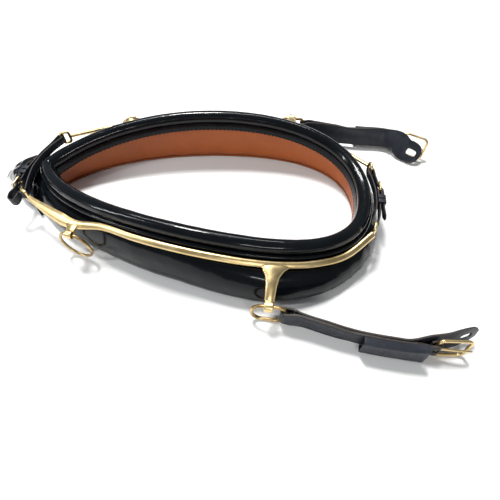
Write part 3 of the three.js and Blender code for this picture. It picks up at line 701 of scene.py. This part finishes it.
def build_collar():
    roll = push(piece("forewale_roll", [carried_skin(roll_line, ROLL_LEATHER)], [PATENT]), roll_waves)
    stands_for(roll, "collar", "patent_leather", "forewale_roll")

    body = push(piece("body_cover", [carried_skin(outer_line, COVER_LEATHER)], [PATENT_BODY], 50),
        skin_wrinkles)
    stands_for(body, "collar", "patent_leather", "body_cover")

    lining = piece("neck_lining", [carried_skin(inner_line, LINING_LEATHER)], [TAN], 50)
    push(lining, lambda p, n: 0.55 * grain(p, 26, 4.4) + 0.25 * grain(p, 9, 6.1))
    stands_for(lining, "collar", "tan_leather", "neck_lining")

    rings = []
    for rim in RIMS:
        circle = arc((BEAD_OFFSET[0], rim.z + BEAD_OFFSET[1]), BEAD_RADIUS, 0, 342, 19)
        rings.append([rim.at(u, z) for u, z in circle])
    stands_for(piece("rim_bead", [loft(rings, closed=True)], [PATENT]), "collar", "patent_leather",
        "rim_bead")

    # Edge band between roll and lining, its lower edge cut in scallops.
    sections, seam = [], []
    for rim in rim_stations(2 * LOOP_STATIONS):
        wave = abs(math.sin(math.pi * rim.along / SCALLOP_PITCH))
        low = rim.z + BODY_TOP - 0.4 - 1.7 * wave
        line = [(-11.3, rim.z - 0.6), (-12.3, rim.z - 4.5), (-12.9, rim.z - 9), (-12.8, low + 1),
            (-12.3, low)]
        back = [(-10.4, z) for _, z in line[:3]] + [(-11.7, line[3][1]), (-11.7, line[4][1] + 0.3)]
        sections.append(([rim.at(u, z) for u, z in line], [rim.at(u, z) for u, z in back]))
        seam.append((rim.at(-12.95, low + 2.2), -rim.out.normalized()))
    stands_for(piece("inner_band", [hollow_strip(sections, closed=True)], [PATENT_BAND]), "collar",
        "patent_leather", "inner_band")
    stitches("inner_band_stitching", [seam], "collar", "patent_leather", 4.0, 3.0, 0.42, THREAD)

    # Seam where the lining meets the body cover underneath the inner edge.
    welt = [[rim.at(u, z) for u, z in arc((-7.2, 3.2), 1.9, 0, 330, 11)] for rim in RIMS]
    stands_for(piece("hem_welt", [loft(welt, closed=True)], [TAN]), "collar", "tan_leather")

    # Row of stitches that holds the roll down along its outer foot.
    foot = [(rim.at(9.6, rim.z + BODY_TOP + 3.4), (rim.out.normalized() + UP).normalized())
        for rim in RIMS if rim.t < 0.97]
    stitches("roll_stitching", [foot], "collar", "patent_leather", 5.0, 3.6, 0.45, THREAD)


# --- cap

CAP_STATIONS = [
    (-315, 74, 42, 22), (-324, 62, 43, 14), (-335, 54, 51, 9), (-346, 45, 51, 6), (-358, 34, 46, 4),
    (-372, 22, 37, 1.5), (-386, 10, 25, 0), (-393, 4, 17, 0),
]
CAP_LEATHER = 2.4
CAP_FLOOR = 0.8
CAP_SIDES = 56


def cap_ring(station, shrink):
    x, half_width, height, reach = station
    shrink = min(shrink, 0.45 * half_width)
    points = []
    for i in range(CAP_SIDES + 1):
        a = math.pi * i / CAP_SIDES
        across = math.copysign(abs(math.cos(a)) ** 0.7, math.cos(a))
        rise = math.sin(a) ** 0.7 if 0 < i < CAP_SIDES else 0.0
        points.append(vec(
            x + reach * across * across,
            (half_width - shrink) * across,
            CAP_FLOOR + (height - shrink - CAP_FLOOR) * rise,
        ))
    return points


def cap_wrinkles(place, normal):
    """Gathers that run from the base of the cap towards its point."""
    if normal.z < -0.3:
        return 0.0
    angle = math.atan2(place.z, place.y)
    gathers = math.sin(angle * 15 + 3 * grain(place, 22, 8.8)) * (0.5 + 0.5 * grain(place, 15, 0.4))
    edge = ease(-place.x, 316, 326)
    return edge * (1.3 * gathers + 0.9 * grain(place, 9, 3.3))


def build_cap():
    rows = np.array(CAP_STATIONS)
    keys = np.linspace(0, 1, len(rows))
    fine = np.linspace(0, 1, 46)
    stations = [tuple(np.interp(t, keys, column) for column in rows.T) for t in fine]
    sections = [(cap_ring(s, 0), cap_ring(s, CAP_LEATHER)) for s in stations]
    cap = push(piece("collar_cap", [hollow_strip(sections)], [PATENT_CAP], 60), cap_wrinkles)
    stands_for(cap, "collar", "patent_leather", "collar_cap")
    # Rolled edge round the mouth of the cap.
    line = cap_ring(CAP_STATIONS[0], 0.6)
    track = Track(line)
    rings = []
    for i in range(81):
        t = i / 80
        rings.append(ellipse(frame_of(track.at(t), track.tangent(t), vec(-1, 0, 0.2)), 2.4, 2.0, 12))
    stands_for(piece("cap_rolled_edge", [loft(rings)], [PATENT]), "collar", "patent_leather")


# --- hames

HAME_OUT, HAME_DOWN = 23, -8
HAME_BAR = (5.6, 4)
EYE_WIRE = 2.6
HAME_TOP = [(-184, 129, 60), (-222, 114, 58), (-256, 97.5, 57.1), (-283, 83, 57)]
HAME_TOP_EYE, HAME_BOTTOM_EYE = (-291.5, 78.3, 57), (291.5, 70.5, 57)
TOP_TOWARD, BOTTOM_TOWARD = (-0.87, -0.49), (0.15, -0.989)
EYE_HALF = (7.6, 11.2)
HAME_WIDTHS = [(0, 1), (0.72, 1), (0.8, 1.25), (0.86, 1.9), (0.93, 1.5), (1, 0.75)]
TERRET_RADIUS, TERRET_WIRE = 27.5, 2.4
TERRET_PIVOT = (-180, 151, 61)
TERRET_AXIS, TERRET_HANG = (0.981, 0.195, 0), (0, 0, -1)
TERRET_ROOT_X = -184
TERRET_BARREL, TERRET_HOLE = (12, 6.6), TERRET_WIRE + 1.2
LINK_WIRE, LINK_X, LINK_Z, LINK_CORNERS, LINK_Y = 2.75, (116.75, 165.25), (3.1, 43.8), (17, 9), 222
DRAFT_ARM_X = 141
DRAFT_EYE, DRAFT_HOLE = (13.2, 8), LINK_WIRE + 0.7
PIN_CUTTER = 40


def hame_track(side):
    points = [mirrored((289.8, 80, 56.5), side)]
    for t in (0.17, 0.24, 0.31, 0.38, 0.46, 0.54, 0.62, 0.7):
        rim = Rim(t, side)
        points.append(rim.at(HAME_OUT, rim.z + HAME_DOWN))
    points += [mirrored(p, side) for p in HAME_TOP]
    return Track([p for p, _ in spline(points, 24)])


def place_on(track, x):
    t = min((i / 800 for i in range(801)), key=lambda q: abs(track.at(q).x - x))
    return track.at(t), track.tangent(t)


def swept(places, directions, ups, sizes, outline):
    """Bar through places; outline(half width, half thickness) gives its section as (y, z) points."""
    rings = []
    for place, along, up, size in zip(places, directions, ups, sizes):
        local = frame_of(place, along, up)
        rings.append([local @ vec(0, y, z) for y, z in outline(*size)])
    return loft(rings)


def hame_section(half_width, half_thick):
    """Flat back, rounded face with a soft ridge along its upper side."""
    points = []
    for k in range(24):
        a = 2 * math.pi * (k + 0.5) / 24
        y, z = math.cos(a), math.sin(a)
        z = 0.62 * z if z < 0 else z * (1 + 0.10 * math.exp(-((y - 0.35) / 0.3) ** 2))
        points.append((half_width * math.copysign(abs(y) ** 0.85, y), half_thick * z))
    return points


def lug(stations, along, sides=20):
    line = spline([s[0] for s in stations], 6)
    rings = []
    for i, (place, way) in enumerate(line):
        t = i / 6
        wide = float(np.interp(t, range(len(stations)), [s[1] for s in stations]))
        thick = float(np.interp(t, range(len(stations)), [s[2] for s in stations]))
        rings.append(ellipse(frame_of(place, way, way.cross(along)), wide, thick, sides))
    return loft(rings)


def terret_frame(side):
    axis = mirrored(TERRET_AXIS, side).normalized()
    hang = mirrored(TERRET_HANG, side)
    hang = (hang - axis * hang.dot(axis)).normalized()
    return basis(axis, hang, axis.cross(hang), mirrored(TERRET_PIVOT, side))


def hame_eye(centre, toward):
    along = vec(toward.x, toward.y, 0).normalized()
    outline = even(rounded_outline(*EYE_HALF, (5, 5), 6), 2)
    return wire_loop(outline, basis(along, UP, along.cross(UP), centre), EYE_WIRE)


def build_hame(side, label):
    track = hame_track(side)
    face = vec(0, side * 0.75, 0.66)
    steps = 150
    ts = [i / steps for i in range(steps + 1)]
    bar = swept(
        [track.at(t) for t in ts],
        [track.tangent(t) for t in ts],
        [face] * len(ts),
        [(HAME_BAR[0] * between(HAME_WIDTHS, t), HAME_BAR[1]) for t in ts],
        hame_section,
    )
    terret = terret_frame(side)
    pivot = mirrored(TERRET_PIVOT, side)
    root, root_way = place_on(track, TERRET_ROOT_X)
    terret_lug = lug([
        (root, 13, 3.4), (root.lerp(pivot, 0.35), 9, 3.4), (root.lerp(pivot, 0.8), 6.5, 3.4),
        (root.lerp(pivot, 0.98), 6.0, 3.4),
    ], root_way)
    ridge = lug([
        (root + face * 2.2, 1.8, 1.8), (root.lerp(pivot, 0.4) + face * 3.0, 1.6, 1.6),
        (root.lerp(pivot, 0.85) + face * 3.2, 1.3, 1.4),
    ], root_way, 12)
    arm, arm_way = place_on(track, DRAFT_ARM_X)
    out = vec(0, side, 0)
    arm_rows = []
    for i, (away, rise, half, thick) in enumerate([
        (0, 0, 24, 3.6), (7, -0.6, 17.5, 3.8), (18, -3, 11, 4.1), (30, -6.6, 8.6, 4.3), (38, -11, 8, 4.4),
        (49, -20, 7.2, 4.5), (52.5, -30, 6.6, 4.4),
    ]):
        x = arm.x if i == 0 else DRAFT_ARM_X
        arm_rows.append((vec(x, arm.y, arm.z) + out * away + UP * rise, half, thick))
    draft_arm = lug(arm_rows, arm_way, 24)
    link_top = vec(DRAFT_ARM_X, side * LINK_Y, LINK_Z[1])
    straight = frame_of(link_top, vec(1, 0, 0), UP)

    solid = piece(f"{label}_hame", [draft_arm], [BRASS])
    carve(solid, rod(straight, PIN_CUTTER, DRAFT_HOLE))
    lugs = piece("lugs", [terret_lug], [BRASS])
    carve(lugs, rod(terret, PIN_CUTTER, TERRET_HOLE))
    rest = piece("rest", [
        bar, ridge, tube(terret, *TERRET_BARREL, TERRET_HOLE), tube(straight, *DRAFT_EYE, DRAFT_HOLE),
        hame_eye(mirrored(HAME_TOP_EYE, side), mirrored((*TOP_TOWARD, 0), side)),
        hame_eye(mirrored(HAME_BOTTOM_EYE, side), mirrored((*BOTTOM_TOWARD, 0), side)),
    ], [BRASS])
    merge(solid, lugs, rest)
    fuse(solid, 0.7, 6, 0.45)
    stands_for(solid, "collar", "brass", f"{label}_hame")

    ring_frame = shifted(terret, 0, TERRET_RADIUS)
    turns = np.linspace(0, 2 * math.pi, 97)[:-1]
    circle = [(TERRET_RADIUS * math.cos(a), TERRET_RADIUS * math.sin(a)) for a in turns]
    ring = piece(f"{label}_terret_ring", [wire_loop(circle, ring_frame, TERRET_WIRE)], [BRASS_OLD])
    stands_for(ring, f"{label}_terret", "brass", f"{label}_terret_ring")

    half_x, half_z = (LINK_X[1] - LINK_X[0]) / 2, (LINK_Z[1] - LINK_Z[0]) / 2
    middle = vec(sum(LINK_X) / 2, side * LINK_Y, sum(LINK_Z) / 2)
    outline = even(rounded_outline(half_x, half_z, LINK_CORNERS, 12), 3)
    link_frame = basis(vec(1, 0, 0), UP, vec(0, -1, 0), middle)
    link = piece(f"{label}_draft_ring", [wire_loop(outline, link_frame, LINK_WIRE)], [BRASS_OLD])
    stands_for(link, f"{label}_draft_link", "brass", f"{label}_draft_ring")


def merge(target, *others):
    """Adds other meshes' shells to a piece."""
    bm = bmesh.new()
    for obj in (target, *others):
        bm.from_mesh(obj.data)
    bm.to_mesh(target.data)
    bm.free()
    for obj in others:
        bpy.data.objects.remove(obj)


# --- straps

STRAP_WIDTH, STRAP_THIN = 16, 2.2
CREASE_IN, CREASE_WIDTH, CREASE_DEPTH = 1.9, 0.8, 0.22


def strap_section(half, thick):
    """Strap section with soft, creased edges: its points, and 1 for each side on a cut edge."""
    c = min(0.55, 0.45 * thick)
    side = [
        (half, thick - c), (half - c, thick), (half - CREASE_IN, thick),
        (half - CREASE_IN - CREASE_WIDTH / 2, thick - CREASE_DEPTH),
        (half - CREASE_IN - CREASE_WIDTH, thick),
    ]
    top = side + [(-y, z) for y, z in reversed(side)]
    bottom = [(-y, -z) for y, z in top]
    outline = top + bottom
    count = len(outline)
    edge_sides = {0, count // 2 - 2, count // 2 - 1, count // 2, count - 2, count - 1}
    return outline, [1 if k in edge_sides else 0 for k in range(count)]


def strap(points, steps, half_width, thickness, width_dir):
    """Flat strap through points; the half width and the width's direction follow functions."""
    line = spline(points, steps)
    last = len(line) - 1
    rings, marks = [], None
    for i, (place, along) in enumerate(line):
        local = frame_of(place, along, along.cross(width_dir(place)))
        half = half_width(place, i / last)
        outline, marks = strap_section(half, thickness / 2)
        rings.append([local @ vec(0, y, z) for y, z in outline])
    return loft(rings, slots=marks), line


BUCKLE_WIRE, BUCKLE_LENGTH, BUCKLE_HALF_HEIGHT = 1.7, 20, 9.6
WRAP_RADIUS = BUCKLE_WIRE + GAP + STRAP_THIN / 2


def folded_end(m):
    rows = [(-10, 2.9), (-3, 3.1), (0, WRAP_RADIUS), (2.2, 2.2), (WRAP_RADIUS, 0), (2.2, -2.2),
        (0, -WRAP_RADIUS), (-4, -3), (-12, -2.2)]
    return [m @ vec(x, 0, z) for x, z in rows]


def free_end(m):
    rows = [(BUCKLE_LENGTH + 3, -3.2), (BUCKLE_LENGTH - 2, -3), (10, 0.8), (3, 4.9), (-4, 5.8), (-12, 5.6)]
    return [m @ vec(x, 0, z) for x, z in rows]


def round_eye(centre, toward, side, early):
    """Half turn of strap round a hame's eye."""
    tx, ty = toward
    out = (-ty, tx) if centre[0] > 0 else (ty, -tx)
    radius = EYE_WIRE + 2 * GAP + STRAP_THIN / 2 + 0.3
    made = []
    for degrees in (0, 45, 90, 135, 180):
        a = math.radians(degrees - early)
        c, s = radius * math.cos(a), radius * math.sin(a)
        made.append(mirrored((
            centre[0] + tx * EYE_HALF[0] + c * out[0] - s * tx,
            centre[1] + ty * EYE_HALF[0] + c * out[1] - s * ty,
            centre[2],
        ), side))
    return made


def leather_loop(name, m, at, low, high, body, node):
    """Square leather keeper with rounded corners round the strap layers."""
    wide = STRAP_WIDTH / 2 + 1.4
    wall, half_x = 1.2, 4.0
    middle, half_z = (low + high) / 2, (high - low) / 2
    outer = rounded_outline(wide, half_z, (1.8, 1.8), 5)
    inner = rounded_outline(wide - wall, half_z - wall, (0.7, 0.7), 5)
    rings = []
    for (oy, oz), (iy, iz) in zip(outer, inner):
        rows = [
            (-half_x, iy, iz), (-half_x + 0.3, oy, oz), (-1.2, oy, oz), (1.2, oy, oz),
            (half_x - 0.3, oy, oz), (half_x, iy, iz),
        ]
        rings.append([m @ vec(at + x, y, middle + z) for x, y, z in rows])
    return stands_for(piece(name, [loft(rings, closed=True)], [HARNESS]), body, "harness_leather", node)


def tongue(name, m, reach, bar_wire, from_x, rise, size, body, node):
    """Buckle tongue: an eye round the bar and a prong that bows a little and ends blunt."""
    root = m @ Matrix.Rotation(math.pi / 2, 4, "Z")
    eye = tube(root, size[0], bar_wire + size[1], bar_wire + GAP, 24, 0.3)
    rows = []
    for k in range(13):
        t = k / 12
        x = from_x + (reach - from_x) * t
        z = rise[0] + (rise[1] - rise[0]) * t + 0.5 * math.sin(math.pi * t)
        shape = 1 - 0.32 * t
        end = 1 if k < 12 else 0.55
        rows.append((m @ vec(x, 0, z), size[2] * shape * end, size[3] * shape * end))
    prong = lug(rows, m.to_3x3() @ vec(0, 1, 0), 14)
    return stands_for(piece(name, [eye, prong], [BRASS]), body, "brass", node)


def small_buckle(label, m):
    half = BUCKLE_LENGTH / 2
    outline = even(rounded_outline(half, BUCKLE_HALF_HEIGHT, (2, 4), 6), 2)
    ring = piece(f"{label}_strap_buckle", [wire_loop(outline, shifted(m, half), BUCKLE_WIRE)], [BRASS])
    stands_for(ring, "collar", "brass", f"{label}_strap_buckle")
    size = (3, 1.7, 1.2, 1.1)
    tongue(f"{label}_strap_tongue", m, BUCKLE_LENGTH + 2, BUCKLE_WIRE, 2.6, (0.8, BUCKLE_WIRE + 1.6), size,
           f"{label}_tongue", f"{label}_strap_tongue")
    leather_loop(f"{label}_strap_fixed_keeper", m, -16, -4.9, 8.4, "collar", f"{label}_strap_fixed_keeper")
    running = f"{label}_strap_running_keeper"
    leather_loop(running, m, -26, -4.9, 8.4, f"{label}_running_keeper", running)


def strap_tip(half, last):
    """Half width that rounds off over the strap's last few millimetres."""
    def width(_place, t):
        return half * (1 - 0.55 * ease(t, last, 1.0))
    return width


def hame_strap(label, m, points):
    shell, _ = strap(points, 6, strap_tip(STRAP_WIDTH / 2 - 1, 0.985), STRAP_THIN, lambda p: UP)
    obj = piece(f"{label}_hame_strap", [shell], [HARNESS, EDGE])
    carve(obj, box(m, (-4.2, 17), (-2, 2), (-4.4, 4.4)))
    finish_surface(obj.data)
    stands_for(obj, "collar", "harness_leather", f"{label}_hame_strap")
    small_buckle(label, m)
    # Two short rows of stitches that close the fold behind the buckle.
    rows = []
    for y in (-4.8, 4.8):
        rows.append([(m @ vec(x, y, 4.0), m.to_3x3() @ UP) for x in (-10, -7, -4)])
    stitches(f"{label}_hame_strap_stitching", rows, "collar", "harness_leather", 2.4, 1.8, 0.28, THREAD)


def build_hame_straps():
    m = basis(vec(0, 1, 0), vec(0, 0, 1), vec(1, 0, 0), vec(306.5, 18, 52))
    hame_strap("bottom", m, [
        *folded_end(m), vec(305.2, -14, 51), vec(303, -40, 53), vec(299, -55, 56),
        *round_eye(HAME_BOTTOM_EYE, BOTTOM_TOWARD, -1, 8),
        vec(294.3, -40, 55), vec(298.8, -18, 53), vec(299.4, 0, 52.5), vec(298.8, 18, 53),
        vec(294.3, 40, 55),
        *reversed(round_eye(HAME_BOTTOM_EYE, BOTTOM_TOWARD, 1, 8)),
        vec(300.5, 50, 54), *free_end(m), vec(311.6, -9, 51.7), vec(312, -26, 51), vec(314.5, -38, 47),
    ])
    m = basis(vec(0, -1, 0), vec(0, 0, 1), vec(-1, 0, 0), vec(-319, -46, 56))
    hame_strap("top", m, [
        *folded_end(m), vec(-316.9, -16, 56.5), vec(-315.6, 2, 56.5), vec(-312.5, 25, 57),
        vec(-307, 50, 57),
        *round_eye(HAME_TOP_EYE, TOP_TOWARD, 1, 45),
        vec(-303, 45, 57), vec(-310.2, 14, 56.5), vec(-310.4, 0, 56.5), vec(-310.2, -14, 56.5),
        vec(-303, -45, 57), *reversed(round_eye(HAME_TOP_EYE, TOP_TOWARD, -1, 25)),
        vec(-305, -85, 54), vec(-311, -90, 49), vec(-320, -88, 49), vec(-321, -79, 53),
        *free_end(m), vec(-324.6, -16, 56), vec(-323.4, 4, 56),
    ])


# --- hame tugs

TUG_ROUTES = {
    "right": {
        "side": -1,
        "route": [
            (165.25, 222, 23.5), (200, 227, 23), (240, 235, 22.5), (275, 240, 22.5), (320, 242.5, 22.5),
            (362, 242, 22.8), (390, 239, 23), (440, 233, 23),
        ],
        "lean": [(165, 0), (190, 4), (330, 3), (400, -10)],
        "safe": [(392, 228, 22.8), (410, 221, 22.8), (436, 209, 22.8)],
    },
    "left": {
        "side": 1,
        "route": [
            (165.25, 222, 23.5), (200, 217, 23.5), (245, 209, 24), (290, 208.5, 24), (330, 211, 24),
            (358, 207, 24), (410, 186, 22),
        ],
        "lean": [(165, 0), (245, 16), (330, 28), (370, 34), (408, 56)],
        "safe": [(376, 186, 20.5), (390, 179.5, 17.5), (407, 171, 15.5)],
    },
}
TUG_LAYER = 3.4
SAFE_LAYER = TUG_LAYER - 0.6
TUG_WIDTHS = [
    (155, 14.5), (168, 14.5), (175, 18), (182, 19), (235, 19), (258, 16.5), (285, 18), (345, 16), (366, 12),
]
SAFE_WIDTHS = [
    (0, 18), (0.1, 18.8), (0.28, 17), (0.6, 18.5), (0.76, 20.5), (0.86, 22), (0.92, 21.5), (0.96, 19),
    (0.985, 14), (1, 8),
]
TUG_RUN = (34, 58, 82, 106, 130, 154, 174)
TUG_BUCKLE_AT, TUG_BUCKLE_WIRE, TUG_BUCKLE_LENGTH, TUG_BUCKLE_HALF = 212, 2.3, 44, 20
LOOP_FROM, LOOP_TO, LOOP_DEPTH, LOOP_WALL, LOOP_HALF = 112, 196, 12, 2, 18
RING_FOLD = LINK_WIRE + 1.1 + TUG_LAYER / 2
BAR_FOLD = TUG_BUCKLE_WIRE + 2 * GAP + TUG_LAYER / 2
SAFE_SLOT = ((-7, 12), (-6.5, 6.5))


class Tug:
    """One tug's middle line and the frames along it: X onward, Y across its width, Z outward."""

    def __init__(self, label):
        data = TUG_ROUTES[label]
        self.side, self.lean = data["side"], data["lean"]
        self.safe = [mirrored(p, self.side) for p in data["safe"]]
        self.track = Track([p for p, _ in spline([mirrored(p, self.side) for p in data["route"]], 40)])
        self.start, self.end = self.track.at(0).x, self.track.at(1).x
        self.bar0 = self.frame(TUG_BUCKLE_AT)

    def width_dir(self, place):
        angle = math.radians(between(self.lean, place.x))
        run = self.track.tangent(clamp((place.x - self.start) / (self.end - self.start)))
        across = vec(0, self.side * math.sin(angle), math.cos(angle))
        return (across - run * across.dot(run)).normalized()

    def frame(self, along):
        t = clamp(along / self.track.length)
        place, x = self.track.at(t), self.track.tangent(t)
        out = (x.cross(self.width_dir(place)) * -self.side).normalized()
        return basis(x, out.cross(x) * -self.side, out, place + x * (along - t * self.track.length))

    def at(self, along, out, across=0.0):
        if along > TUG_BUCKLE_AT - 9:
            return self.bar0 @ vec(along - TUG_BUCKLE_AT, across, out)
        return self.frame(along) @ vec(0, across, out)


def build_tug(label):
    tug = Tug(label)
    body = f"{label}_tug"
    out_layer = TUG_LAYER / 2 + GAP
    bar = TUG_BUCKLE_AT
    front = [
        (13, -4.6), (4, -5.3), (0, -RING_FOLD), (-3.9, -3.9), (-RING_FOLD, 0), (-3.9, 3.9),
        (0, RING_FOLD), (6, 5), (20, 2.4),
        *[(a, out_layer) for a in TUG_RUN], (188, out_layer), (203, 3.4), (bar, BAR_FOLD), (bar + 3.1, 3.1),
        (bar + BAR_FOLD + 0.1, 0), (bar + 3.1, -3.1), (bar, -BAR_FOLD), (bar - 8, -2.6),
    ]
    shell, _ = strap([tug.at(*p) for p in front], 6, lambda p, t: between(TUG_WIDTHS, p.x), TUG_LAYER,
        tug.width_dir)
    layer = piece(f"{label}_tug_strap", [shell], [HARNESS, EDGE])
    carve(layer, box(tug.bar0, (-6, 9), (-2.7, 2.7), (-8, 8)))
    finish_surface(layer.data)
    stands_for(layer, body, "harness_leather", f"{label}_tug_strap")

    back_in = -(TUG_LAYER / 2 + 0.2)
    places = [(13.4, -4.5), (23, -2.7), *[(a, back_in) for a in TUG_RUN], (201, -8.2)]
    back = [tug.at(*p) for p in places] + tug.safe
    after = len(back) - 3

    def safe_width(_place, t):
        return between(SAFE_WIDTHS, (t * (after + 2) - 2) / after)

    shell, _ = strap(back, 8, safe_width, SAFE_LAYER, tug.width_dir)
    safe = piece(f"{label}_tug_safe", [shell], [HARNESS, EDGE])
    last, before = tug.safe[-1], tug.safe[-2]
    heading = (last - before).normalized()
    slot_frame = frame_of(last - heading * 21, heading, tug.width_dir(last).cross(heading))
    (x0, x1), (y0, y1) = SAFE_SLOT
    middle = shifted(slot_frame, (x0 + x1) / 2)
    outline = rounded_outline((x1 - x0) / 2, (y1 - y0) / 2, (4.5, 4.5), 6)
    carve(safe, loft([[middle @ vec(x, y, z) for x, y in outline] for z in (-12, 12)]))
    finish_surface(safe.data)
    stands_for(safe, body, "harness_leather", f"{label}_tug_safe")

    build_box_loop(label, tug, out_layer + TUG_LAYER / 2 + 2 * GAP)
    stitch_tug(label, tug, out_layer + TUG_LAYER / 2, back_in - SAFE_LAYER / 2)

    half = TUG_BUCKLE_LENGTH / 2
    outline = even(rounded_outline(half, TUG_BUCKLE_HALF, (4, 9), 10), 3)
    wire = wire_loop(outline, shifted(tug.bar0, half), TUG_BUCKLE_WIRE, 18)
    ring = piece(f"{label}_tug_buckle", [wire], [BRASS])
    stands_for(ring, f"{label}_trace_buckle", "brass", f"{label}_tug_buckle")
    size = (4.6, 2.4, 2.1, 2.0)
    tongue(f"{label}_tug_tongue", tug.bar0, TUG_BUCKLE_LENGTH + 4, TUG_BUCKLE_WIRE, 3.6, (1, 5), size,
           f"{label}_trace_tongue", f"{label}_tug_tongue")


def build_box_loop(label, tug, seat):
    """Moulded box loop: three walls standing on the tug, edges rolled and creased."""
    def section(half, height, radius):
        line = [(-half, 0)]
        line += [(-half + radius - radius * math.cos(a), height - radius + radius * math.sin(a))
                 for a in np.linspace(0, math.pi / 2, 7)]
        line += [(-half + 0.30 * half, height), (0, height + 0.35), (half - 0.30 * half, height)]
        line += [(half - radius + radius * math.sin(a), height - radius + radius * math.cos(a))
                 for a in np.linspace(0, math.pi / 2, 7)]
        return line + [(half, 0)]

    sections = []
    count = 28
    for i in range(count + 1):
        t = i / count
        swell = 1 + 0.012 * math.sin(math.pi * t)
        lip = 0.5 * (math.exp(-((t - 0.03) / 0.015) ** 2) + math.exp(-((t - 0.97) / 0.015) ** 2))
        m = tug.frame(LOOP_FROM + (LOOP_TO - LOOP_FROM) * t)
        outer = section(LOOP_HALF * swell + lip * 0.5, LOOP_DEPTH - 0.5 + lip, 3.0)
        inner = section(LOOP_HALF - LOOP_WALL, LOOP_DEPTH - LOOP_WALL - 0.5, 1.6)
        sections.append(tuple([m @ vec(0, y, seat + z) for y, z in line] for line in (outer, inner)))
    loop = piece(f"{label}_tug_box_loop", [hollow_strip(sections, edge_slot=1)], [HARNESS, EDGE])
    stands_for(loop, f"{label}_tug", "harness_leather", f"{label}_tug_box_loop")


def stitch_tug(label, tug, outer_face, inner_face):
    """Rows of stitches along both edges, outside before the box loop and inside all along."""
    rows = []
    for sign in (-1, 1):
        outer, inner = [], []
        for along in range(24, 110, 3):
            m = tug.frame(along)
            place = m @ vec(0, 0, 0)
            half = between(TUG_WIDTHS, place.x) - 3.6
            outer.append((m @ vec(0, sign * half, outer_face), m.to_3x3() @ UP))
        rows.append(outer)
        for along in range(40, 196, 3):
            m = tug.frame(along)
            half = between([(34, 15.5), (60, 14.6), (100, 12.6), (174, 15), (200, 15.2)], along)
            inner.append((m @ vec(0, sign * half, inner_face), -(m.to_3x3() @ UP)))
        rows.append(inner)
    stitches(f"{label}_tug_stitching", rows, f"{label}_tug", "harness_leather", 3.2, 2.4, 0.36, THREAD)


# --- stage, light, camera

CAMERA_AT = (146.62, -452.58, 506.49)
CAMERA_WAY = (-0.08044, 0.57207, -0.81625)
CAMERA_ROLL_DEG = 0.13
CAMERA_LENS = 26.0
SKY_STRENGTH, SUN_STRENGTH, SUN_WIDTH_DEG = 0.20, 2.9, 11
FLOOR_REACH = 6.0


def area_light(name, at, toward, size, power, colour=(1, 1, 1)):
    light = bpy.data.lights.new(name, "AREA")
    light.shape = "RECTANGLE"
    light.size, light.size_y = size
    light.energy = power
    light.color = colour
    obj = bpy.data.objects.new(name, light)
    obj.location = at
    obj.rotation_mode = "QUATERNION"
    obj.rotation_quaternion = (Vector(toward) - Vector(at)).to_track_quat("-Z", "Y")
    bpy.context.scene.collection.objects.link(obj)


def build_stage():
    mesh = bpy.data.meshes.new("floor")
    corners = [(sx * FLOOR_REACH, sy * FLOOR_REACH, 0) for sx, sy in ((-1, -1), (1, -1), (1, 1), (-1, 1))]
    mesh.from_pydata(corners, [], [[0, 1, 2, 3]])
    floor = bpy.data.objects.new("floor", mesh)
    bpy.context.scene.collection.objects.link(floor)
    paper = Look("pale_floor", Roughness=0.7)
    paper.shader.inputs["Specular IOR Level"].default_value = 0.2
    shades = [(0.3, (0.93, 0.925, 0.915)), (0.7, (0.95, 0.95, 0.945))]
    mesh.materials.append(paper.done(paper.ramp(paper.noise(400, detail=2), shades)))

    world = bpy.data.worlds.new("studio")
    world.use_nodes = True
    back = world.node_tree.nodes["Background"]
    back.inputs["Color"].default_value = (0.90, 0.95, 1.0, 1)
    back.inputs["Strength"].default_value = SKY_STRENGTH
    bpy.context.scene.world = world
    bpy.context.scene.view_settings.view_transform = "Standard"

    sun = bpy.data.lights.new("softened_sun", "SUN")
    sun.energy = SUN_STRENGTH
    sun.angle = math.radians(SUN_WIDTH_DEG)
    sun.color = (1.0, 0.99, 0.97)
    lamp = bpy.data.objects.new("softened_sun", sun)
    lamp.rotation_mode = "QUATERNION"
    lamp.rotation_quaternion = Vector((0.25, -0.45, -1)).to_track_quat("-Z", "Y")
    bpy.context.scene.collection.objects.link(lamp)
    area_light("overhead_window", (-0.25, 0.9, 1.5), (0.05, 0, 0.05), (1.6, 0.06), 17, (0.98, 0.99, 1.0))
    area_light("left_window", (-1.4, -0.5, 1.0), (0, 0, 0.05), (0.09, 1.1), 11, (0.94, 0.98, 1.0))
    area_light("front_window", (0.5, -1.5, 0.9), (0.1, 0, 0.03), (0.8, 0.06), 8, (1.0, 0.99, 0.97))


def build_camera():
    data = bpy.data.cameras.new("camera")
    data.sensor_width = 36
    data.lens = CAMERA_LENS
    data.clip_start = 0.01
    cam = bpy.data.objects.new("camera", data)
    cam.location = (Vector(CAMERA_AT) + ORIGIN) * MM
    cam.rotation_mode = "QUATERNION"
    turn = Vector(CAMERA_WAY).to_track_quat("-Z", "Y").to_matrix().to_4x4()
    roll = Matrix.Rotation(math.radians(CAMERA_ROLL_DEG), 4, "Z")
    cam.rotation_quaternion = (turn @ roll).to_quaternion()
    bpy.context.scene.collection.objects.link(cam)
    bpy.context.scene.camera = cam


build_stage()
build_camera()
build_collar()
build_cap()
build_hame(-1, "right")
build_hame(1, "left")
build_hame_straps()
build_tug("right")
build_tug("left")
for node in ("straw_stuffing", "forewale_straw_core"):
    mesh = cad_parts[node].data
    for index in range(len(mesh.materials)):
        mesh.materials[index] = STRAW
